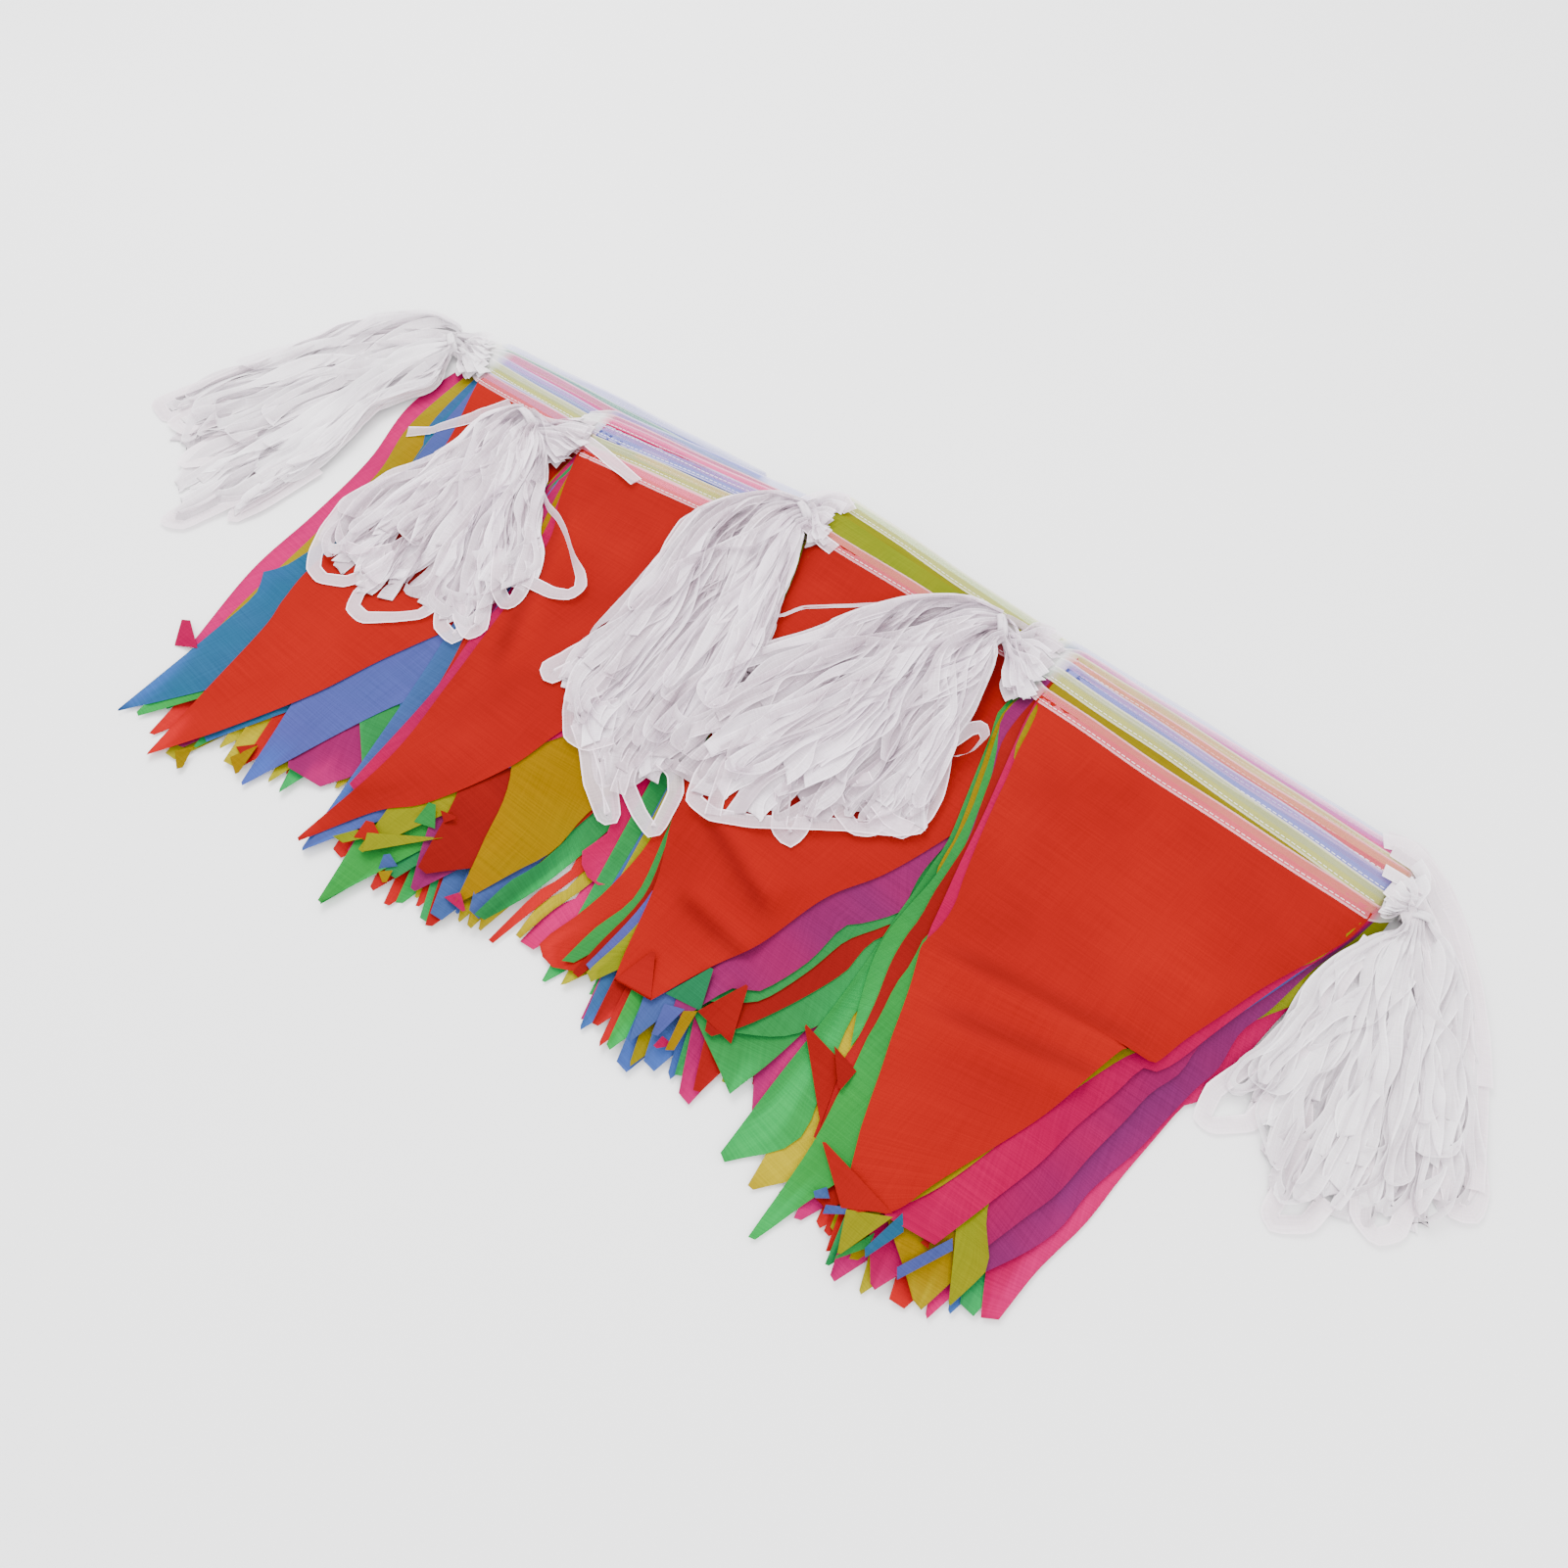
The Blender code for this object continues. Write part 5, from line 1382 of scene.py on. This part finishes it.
@dataclass
class TapeHank:
    """Slack tape gathered at a knot and spread in flat loops.

    Up to the distance neck from the knot the tapes are held together, less and less over the last neck_fade.
    across is where the points of a tape lie over its width, as shares of its half. lowest is how near to the
    floor a tape may come, and steepest how far it may be turned, in radians.
    """

    plan: HankPlan
    ground: HeightMap
    shift: np.ndarray
    width: float = 9.2 * MM
    string_width: float = 2.2 * MM
    gap: float = 0.25 * MM
    squash: float = 0.66
    thick: float = 0.40 * MM
    lowest: float = 0.3 * MM
    spacing: float = 3.3 * MM
    strand_spacing: float = 2.4 * MM
    neck: float = 22 * MM
    neck_fade: float = 18 * MM
    knot_height: float = 5 * MM
    steepest: float = 1.3
    tails: int = 26
    loops: int = 58
    length: float = 0.0
    across = np.array([-1, -0.78, 0, 0.78, 1])

    def __post_init__(self) -> None:
        """Starts the mesh and the seeded random numbers, and finds the height that the knot rests on."""
        self.random = np.random.default_rng(sum(map(ord, self.plan.name)) + 7)
        self.tape = Fabric(f"{self.plan.name}_hank_loops")
        self.rest = 0.0
        for _ in range(4):
            self.rest = float(self.ground.draped(*self.knot().reshape(2, 1, 1), 12)[0, 0])

    def knot(self) -> np.ndarray:
        """Where the middle of the knot lies over the plan."""
        return sighted(np.array(self.plan.knot) * MM, np.array(self.rest + self.knot_height))

    def lie(
        self,
        path: np.ndarray,
        roll: np.ndarray,
        width: np.ndarray,
        bundled: np.ndarray,
        level: float,
        shear: float = 0.0,
    ) -> np.ndarray:
        """Lays one length of tape along a path that is given where it is seen against the floor.

        Args:
            path: The points of its middle.
            roll: How far it is turned on edge at each point, in radians.
            width: Its width at each point.
            bundled: From 0, laid on what is below, to 1, held in the gathered neck.
            level: Its height in the neck, over what the neck rests on.
            shear: How slanting its last end is.

        Returns:
            A grid of points.
        """
        tilt = (width / 2 * np.sin(roll))[:, None] * self.across
        offset = (width / 2 * np.cos(roll))[:, None] * self.across
        middle = np.full(len(path), self.rest + 2 * MM)
        slant = np.zeros((len(path), 1))
        slant[-4:, 0] = np.array([0.1, 0.4, 0.75, 1.0]) * shear
        for _ in range(2):
            spine = sighted(path, middle)
            side = sideways(spine)
            way = np.stack([side[:, 1], -side[:, 0]], axis=1)
            plan = spine[:, None] + side[:, None] * offset[..., None]
            plan += way[:, None] * (offset * slant)[..., None]
            below = self.ground.draped(plan[..., 0], plan[..., 1], 2)
            middle = (below - self.squash * tilt).max(axis=1) + self.gap
            for _ in range(3):
                middle = np.maximum(middle, softened(middle))
            middle = middle * (1 - bundled) + (self.rest + level) * bundled
        pleat = self.wander(len(path), 0.35 * MM)[:, None] * (1 - np.abs(self.across)) * (1 - slant**2)
        height = np.maximum(middle[:, None] + tilt * self.squash + pleat, self.lowest)
        self.ground.press(np.dstack([plan, below + self.thick * (1 - bundled[:, None])]))
        return np.dstack([plan, height])

    def add(self, sheet: np.ndarray, tone: float, light: float = 0.0, tint: Tint = (1.0, 1.0, 1.0)) -> None:
        """Adds a laid tape to the mesh, with its tone, its light and its tint."""
        along = travelled(sheet[:, 2])
        flat = np.stack(np.broadcast_arrays(along[:, None], self.across * self.width / 2), -1)
        start = [self.random.uniform(0, 3), 0]
        self.tape.add(Patch(sheet[:, ::-1], flat[:, ::-1] + start, tone, light, tint))
        self.length += float(along[-1])

    def wander(self, size: int, amount: float) -> np.ndarray:
        """A smooth random line of numbers around nothing."""
        steps = np.linspace(0, 1, size)
        phase = self.random.uniform(0, TURN, 3)
        rates = enumerate(zip((5, 11, 23), phase), 1)
        return amount * sum(np.sin(steps * rate + start) / order for order, (rate, start) in rates)

    def shade(self, depth: float) -> float:
        """The tone of a tape: painted shade, darker deep in the hank, and varied at random."""
        return float(np.clip(0.22 + 0.5 * depth + self.random.uniform(-0.28, 0.28), 0, 1))

    def gripped(self, distance: np.ndarray) -> np.ndarray:
        """How firmly the neck holds a tape at distances from the knot, from 0 to 1."""
        return smooth_step((self.neck - distance) / self.neck_fade)

    def upright(self, roll: np.ndarray, bundled: np.ndarray, lean: int) -> np.ndarray:
        """The roll of a tape, on edge where the neck holds it."""
        return np.clip(roll * (1 - bundled) + bundled * 1.25 * lean, -self.steepest, self.steepest)

    def lay_loop(
        self, fan: np.ndarray, across: float, along: float, width: float, end: LoopEnd, depth: float
    ) -> None:
        """Lays one loop of a fan.

        Args:
            fan: The rails.
            across: Where it lies over the fan's width, as a share.
            along: How far down the fan it reaches, as a share.
            width: How far apart its legs are at the end, as a share of the fan's width.
            end: How the tape turns at its end.
            depth: From 0 at the bottom of the hank to 1 on top.
        """
        reach = steps_between(fan_point(fan, np.full(20, across), np.linspace(0, along, 20))).sum()
        t = np.linspace(0, 1, max(int(reach / self.spacing), 8))
        ease = smooth_step(t * 1.6)
        skew = self.random.uniform(-0.03, 0.03)
        legs = []
        for sign in (-1, 1):
            u = (across + self.random.uniform(-0.5, 0.5)) * (1 - ease) + (across + sign * width / 2) * ease
            legs.append(fan_point(fan, u + self.wander(len(t), 0.03) * t, t * (along + sign * skew)))
        lean = self.random.choice((-1, 1))
        narrow = self.width * self.random.uniform(0.84, 1.0)
        level = self.random.uniform(0.5, 9.0) * MM
        loop = Loop(legs, t, reach, lean, narrow, level)
        sheet = self.folded(loop) if end is LoopEnd.FOLDED else self.rounded(loop)
        self.add(sheet, self.shade(depth))

    def folded(self, loop: Loop) -> np.ndarray:
        """Lays a loop whose tape is folded flat on itself at its end.

        Args:
            loop: Its measures.

        Returns:
            A grid of points.
        """
        t = loop.t
        crease = (loop.legs[0][-1] + loop.legs[1][-1]) / 2
        shear = self.random.uniform(-0.7, 0.7)
        bundled = self.gripped(t * loop.reach)
        wider = (self.width - loop.narrow) * smooth_step((t - 0.7) / 0.3)
        width = loop.narrow * (1 - 0.25 * bundled) + wider
        sheets = []
        for leg in loop.legs:
            path = leg + (crease - leg[-1]) * smooth_step((t - 0.55) / 0.45)[:, None]
            roll = (loop.lean * 0.7 + self.wander(len(t), 0.6)) * (1 - smooth_step((t - 0.8) / 0.2))
            roll = self.upright(roll, bundled, loop.lean)
            sheets.append(self.lie(path, roll, width, bundled, loop.level, shear))
        way = sheets[1][-1, 2] - sheets[1][-3, 2]
        turn = (sheets[0][-1] + sheets[1][-1]) / 2 + way / np.linalg.norm(way) * [0.7 * MM, 0.7 * MM, 0]
        return np.concatenate([sheets[0], turn[None], sheets[1][::-1]])

    def rounded(self, loop: Loop) -> np.ndarray:
        """Lays a loop whose tape turns round at its end, standing on edge.

        Args:
            loop: Its measures.

        Returns:
            A grid of points.
        """
        first, second = loop.legs
        steps = max(int(np.linalg.norm(first[-1] - second[-1]) / self.spacing), 2)
        link = np.linspace(0, 1, steps + 1)[1:-1, None]
        turn = first[-1] * (1 - link) + second[-1] * link
        path = np.concatenate([first, turn, second[::-1]])
        path = np.column_stack([softened(column) for column in path.T])
        size = len(path)
        bundled = self.gripped(np.concatenate([loop.t, np.ones(len(turn)), loop.t[::-1]]) * loop.reach)
        near_end = bell(np.arange(size) - size / 2, 4 + len(turn) / 2)
        roll = loop.lean * 0.7 + self.wander(size, 0.6)
        roll = roll * (1 - near_end) + loop.lean * self.random.uniform(1.0, 1.25) * near_end
        width = loop.narrow * (1 - 0.25 * bundled)
        return self.lie(path, self.upright(roll, bundled, loop.lean), width, bundled, loop.level)

    def lay_tail(self, fan: np.ndarray, across: float, depth: float) -> None:
        """Lays a single tape from the knot to where a heading begins."""
        count = 16
        t = np.linspace(0, 1, count)
        u = across + (0.5 + self.random.uniform(-0.4, 0.4) - across) * (1 - smooth_step(t * 1.3))
        path = fan_point(fan, u, t * self.random.uniform(0.62, 0.88))
        bundled = smooth_step((0.42 - t) / 0.42)
        lean = self.random.choice((-1, 1))
        roll = lean * (1.25 - 0.75 * smooth_step((t - 0.5) / 0.5)) + self.wander(count, 0.12)
        sheet = self.lie(path, roll, self.width * (0.6 + 0.3 * t), bundled, self.random.uniform(1, 8) * MM)
        self.add(sheet, self.shade(depth))

    def lay_strand(self, strand: Strand) -> None:
        """Lays one of the lengths that stand out."""
        path = bent_line(np.array(strand.line) * MM, self.strand_spacing)
        size = len(path)
        width = self.string_width if strand.lie is Lie.STRING else self.width * 0.9
        roll = strand.lie.roll(np.linspace(0, 1, size), self.random.uniform(0, 6))
        sheet = self.lie(path, roll, np.full(size, width), np.zeros(size), 0.0)
        light = 0.0 if self.plan.pale else 1.0
        self.add(sheet, self.random.uniform(0.5, 0.9), light, (1.0, 0.93, 0.95))

    def fans(self) -> list[np.ndarray]:
        """The rails and the puff of the plan as grids of points, each led through the knot from the other."""
        knot = np.array(self.plan.knot) * MM
        lines = (self.plan.rails, self.plan.puff)
        grids = [np.stack([smooth_curve(np.array(rail) * MM, 40) for rail in rails]) for rails in lines]
        starts = [grid[:, 0].mean(axis=0) for grid in grids]
        return [
            np.concatenate([(grid[:, :1] + other - start) * 0.7 + knot * 0.3, grid], axis=1)
            for grid, start, other in zip(grids, starts, reversed(starts))
        ]

    def build(self, tape: bpy.types.Material) -> list[bpy.types.Object]:
        """Lays the hank and makes its objects.

        Args:
            tape: The finish of the tape.

        Returns:
            The pieces of the hank.
        """
        fan, puff = self.fans()
        golden = 0.618
        for order in range(self.tails):
            self.lay_tail(puff, (order * golden + 0.2) % 1.0, 0.3 + 0.7 * order / self.tails)
        for order in range(self.loops):
            if order == int(self.loops * self.plan.strands_after):
                for strand in self.plan.strands:
                    self.lay_strand(strand)
            across = (order * golden + 0.31) % 1.0
            depth = order / self.loops
            along = self.random.uniform(0.86, 1.0) if depth < 0.6 else self.random.uniform(0.66, 0.95)
            end = LoopEnd.FOLDED if self.random.random() < 0.62 else LoopEnd.ROUND
            narrowest, widest = (0.02, 0.10) if end is LoopEnd.FOLDED else (0.05, 0.12)
            width = self.random.uniform(narrowest, widest)
            self.lay_loop(fan, 0.03 + 0.94 * across, along, width, end, depth)
        piece = self.tape.build(self.shift, tape)
        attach(piece, "root")
        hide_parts(f"hank_{self.plan.name}")
        LOG.info("%s hank: %.2f m of tape, rests at %.1f mm", self.plan.name, self.length, self.rest / MM)
        return [piece, self.build_tie(fan, puff, tape)]

    def build_tie(self, fan: np.ndarray, puff: np.ndarray, tape: bpy.types.Material) -> bpy.types.Object:
        """Makes the band wound round the neck.

        Args:
            fan: The rails of the loops.
            puff: The rails of the gathered tapes on the other side of the knot.
            tape: The finish of the band.

        Returns:
            The piece.
        """
        knot = self.knot()
        out = fan[:, 4].mean(axis=0) - puff[:, 6].mean(axis=0)
        out /= np.linalg.norm(out)
        across = np.array([-out[1], out[0]])
        turns, steps = 3, 60
        angle = np.linspace(0, TURN * turns, steps)
        wide, tall = 7.6 * MM, 6.0 * MM
        lane = np.linspace(-1.6, 1.6, steps) * MM + 0.5 * MM * np.sin(angle * 0.7)
        middle = knot + np.outer(np.cos(angle) * wide, across) + np.outer(lane, out)
        z = self.rest + self.knot_height + tall * np.sin(angle) + 0.3 * MM * np.sin(angle * 2.3)
        rows, section = [], ((-2.0, 0.0), (-0.7, 0.5), (0.7, 0.5), (2.0, 0.0), (0.7, -0.1), (-0.7, -0.1))
        for slip, lift in section:
            plan = knot + (middle - knot) * (1 + lift * MM / wide) + out * slip * MM
            rows.append(np.column_stack([plan, z + lift * MM * np.sin(angle)]))
        ring = np.stack(rows, axis=1)
        length = float(steps_between(ring[:, 1]).sum())
        lanes = np.array([slip for slip, _ in section]) * MM
        flat = np.stack(np.broadcast_arrays(np.linspace(0, length, steps)[:, None], lanes), -1)
        ring[..., 2] = np.maximum(ring[..., 2], self.lowest)
        band = Fabric(f"{self.plan.name}_tie_band", [Patch(ring, flat, 0.75)])
        piece = band.build(self.shift, tape, closed=True)
        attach(piece, "root")
        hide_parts(f"tie_{self.plan.name}")
        return piece


@dataclass
class LooseTape:
    """A single short length of tape lying on the rest."""

    strand: Strand
    ground: HeightMap
    shift: np.ndarray

    def build(self, tape: bpy.types.Material) -> bpy.types.Object:
        """Lays the tape and makes its object."""
        hank = TapeHank(HankPlan("loose_end", self.strand.line[0]), self.ground, self.shift)
        hank.lay_strand(self.strand)
        piece = hank.tape.build(self.shift, tape)
        piece.name = "loose_end_of_tape"
        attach(piece, "root")
        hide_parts("loose_tape_end")
        return piece


# ---------------------------------------------------------------- stitches, by Geometry Nodes


@dataclass(frozen=True)
class StitchRow:
    """Evenly spaced thread stitches along the seams of a stack's upper headings."""

    headings: int = 11
    pitch: float = 3.0 * MM
    length: float = 2.1 * MM
    thickness: float = 0.28 * MM

    def sizes(self) -> dict[str, float]:
        """The measures that the node tree takes."""
        return {"Pitch": self.pitch, "Length": self.length, "Thickness": self.thickness}

    def tree(self, material: bpy.types.Material) -> bpy.types.NodeTree:
        """Builds the node tree that turns seam lines into stitches."""
        tree = bpy.data.node_groups.new("stitch_row", "GeometryNodeTree")
        face = tree.interface
        face.new_socket("Geometry", in_out="INPUT", socket_type="NodeSocketGeometry")
        for name in self.sizes():
            face.new_socket(name, in_out="INPUT", socket_type="NodeSocketFloat")
        face.new_socket("Geometry", in_out="OUTPUT", socket_type="NodeSocketGeometry")
        graph = Graph(tree)
        inside = graph.node("NodeGroupInput", {})
        seams, pitch, length, thickness = (Value(graph, inside.outputs[number]) for number in range(4))
        points = graph.node("GeometryNodeCurveToPoints", {"Curve": seams, "Length": pitch}, mode="LENGTH")
        spots, turns = (Value(graph, points.outputs[name]) for name in ("Points", "Rotation"))
        size = graph.value("ShaderNodeCombineXYZ", {0: thickness, 1: thickness, 2: length})
        stitch = graph.value("GeometryNodeMeshCube", {"Size": size}, "Mesh")
        inputs = {"Points": spots, "Instance": stitch, "Rotation": turns}
        spread = graph.value("GeometryNodeInstanceOnPoints", inputs, "Instances")
        real = graph.value("GeometryNodeRealizeInstances", {"Geometry": spread})
        dressed = graph.value("GeometryNodeSetMaterial", {"Geometry": real, "Material": material})
        graph.node("NodeGroupOutput", {0: dressed})
        return tree

    def build(
        self, name: str, seams: Sequence[np.ndarray], shift: np.ndarray, tree: bpy.types.NodeTree
    ) -> bpy.types.Object:
        """Makes the stitches of one stack as a plain mesh.

        Args:
            name: The piece's name.
            seams: The seam of each heading, from the lowest up.
            shift: Added to every point.
            tree: The node tree.

        Returns:
            The piece.
        """
        curve = bpy.data.curves.new(f"{name}_seams", "CURVE")
        curve.dimensions = "3D"
        for seam in seams[-self.headings :]:
            spline = curve.splines.new("POLY")
            spline.points.add(len(seam) - 1)
            spline.points.foreach_set("co", np.column_stack([seam + shift, np.ones(len(seam))]).ravel())
        guide = placed(f"{name}_seams", curve)
        modifier = guide.modifiers.new("stitches", "NODES")
        modifier.node_group = tree
        for item in tree.interface.items_tree:
            if item.in_out == "INPUT" and item.name in self.sizes():
                modifier[item.identifier] = self.sizes()[item.name]
        bpy.context.view_layer.update()
        evaluated = guide.evaluated_get(bpy.context.evaluated_depsgraph_get())
        mesh = bpy.data.meshes.new_from_object(evaluated)
        mesh.name = name
        guide.modifiers.remove(modifier)
        bpy.data.objects.remove(guide)
        piece = placed(name, mesh)
        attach(piece, "root")
        return piece


# ---------------------------------------------------------------- studio


@dataclass(frozen=True)
class Studio:
    """A pale floor, soft light, and the camera that the photograph was taken with.

    Each light has a name, a place, a size and a share of the power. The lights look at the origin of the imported
    model's frame, and the camera at the plan's.
    """

    floor_reach: float = 6.0
    floor_depth: float = 0.6 * MM
    focal_mm: float = 30.58
    sensor_mm: float = 36.0
    nearest: float = 0.02
    light_power: float = 30.0
    world_strength: float = 2.3
    lights: tuple[tuple[str, Tint, float, float], ...] = (
        ("key", (-0.7, 0.5, 1.3), 0.9, 1.0),
        ("fill", (0.9, -0.6, 1.1), 1.2, 0.35),
    )

    def build(self, shift: np.ndarray, floor_finish: bpy.types.Material) -> None:
        """Sets up the floor, the lights and the camera.

        Args:
            shift: How far the camera is moved, with the plan.
            floor_finish: The finish of the floor.
        """
        self.build_floor(floor_finish)
        self.build_lights()
        camera = bpy.data.cameras.new("photograph")
        camera.sensor_width = self.sensor_mm
        camera.lens = self.focal_mm
        camera.clip_start = self.nearest
        eye = placed("photograph", camera)
        self.aim(eye, Vector(EYE))
        eye.location += Vector(shift)
        bpy.context.scene.camera = eye

    def aim(self, thing: bpy.types.Object, spot: Vector) -> None:
        """Puts a light or a camera at a spot and turns it to the origin."""
        thing.location = spot
        thing.rotation_mode = "QUATERNION"
        thing.rotation_quaternion = (-spot).to_track_quat("-Z", "Y")

    def build_floor(self, finish: bpy.types.Material) -> None:
        """Lays the floor, just below the bunting."""
        reach = self.floor_reach
        mesh = bpy.data.meshes.new("floor")
        corners = [(x * reach, y * reach, -self.floor_depth) for x, y in ((-1, -1), (1, -1), (1, 1), (-1, 1))]
        mesh.from_pydata(corners, [], [(0, 1, 2, 3)])
        mesh.materials.append(finish)
        floor = placed("floor", mesh)

    def build_lights(self) -> None:
        """Makes the even daylight and the two soft lights."""
        world = bpy.data.worlds.new("soft_daylight")
        world.use_nodes = True
        shade = world.node_tree.nodes["Background"]
        shade.inputs["Color"].default_value = rgb(1.0, 1.0, 1.0)
        shade.inputs["Strength"].default_value = self.world_strength
        bpy.context.scene.world = world
        for name, spot, size, share in self.lights:
            light = bpy.data.lights.new(name, "AREA")
            light.energy = self.light_power * share
            light.size = size
            self.aim(placed(name, light), Vector(spot))


# ---------------------------------------------------------------- the whole bunting


def plan_shift() -> np.ndarray:
    """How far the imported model's frame lies from the plan, read from the front stack's top pennant."""
    low_x, high_y = 0.079, 0.111
    low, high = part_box("front_pennant_8_red")
    return np.array([low.x - low_x, high.y - high_y, 0.0])


def report(*pieces: bpy.types.Object) -> None:
    """Logs each piece with its number of faces."""
    for piece in pieces:
        LOG.info("%s: %d faces", piece.name, len(piece.data.polygons))


def main() -> None:
    """Builds the bunting, piece by piece."""
    logging.basicConfig(level=logging.INFO, format="%(name)s: %(message)s")
    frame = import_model()
    shift = plan_shift()
    finishes = {finish.cloth: finish.build() for finish in PENNANT_FINISHES}
    heading, hank_tape, pale_tape = HEADING_FINISH.build(), HANK_FINISH.build(), PALE_HANK_FINISH.build()
    thread, floor = THREAD_FINISH.build(), FLOOR_FINISH.build()
    Studio().build(shift, floor)
    ground = HeightMap()
    rows = StitchRow()
    tree = rows.tree(thread)
    for plan in (REAR, THIRD, SECOND, FRONT):
        stack = PennantStack(plan, ground, shift, list(frame["nodes"]))
        report(*stack.build(finishes, heading))
        report(rows.build(f"{plan.name}_stitches", stack.seams, shift, tree))
    report(LooseTape(LOOSE_END, ground, shift).build(hank_tape))
    for plan in HANKS:
        report(*TapeHank(plan, ground, shift).build(pale_tape if plan.pale else hank_tape))
    LOG.info("height of the relief: %.1f mm", ground.height.max() / MM)


if __name__ == "__main__":
    main()
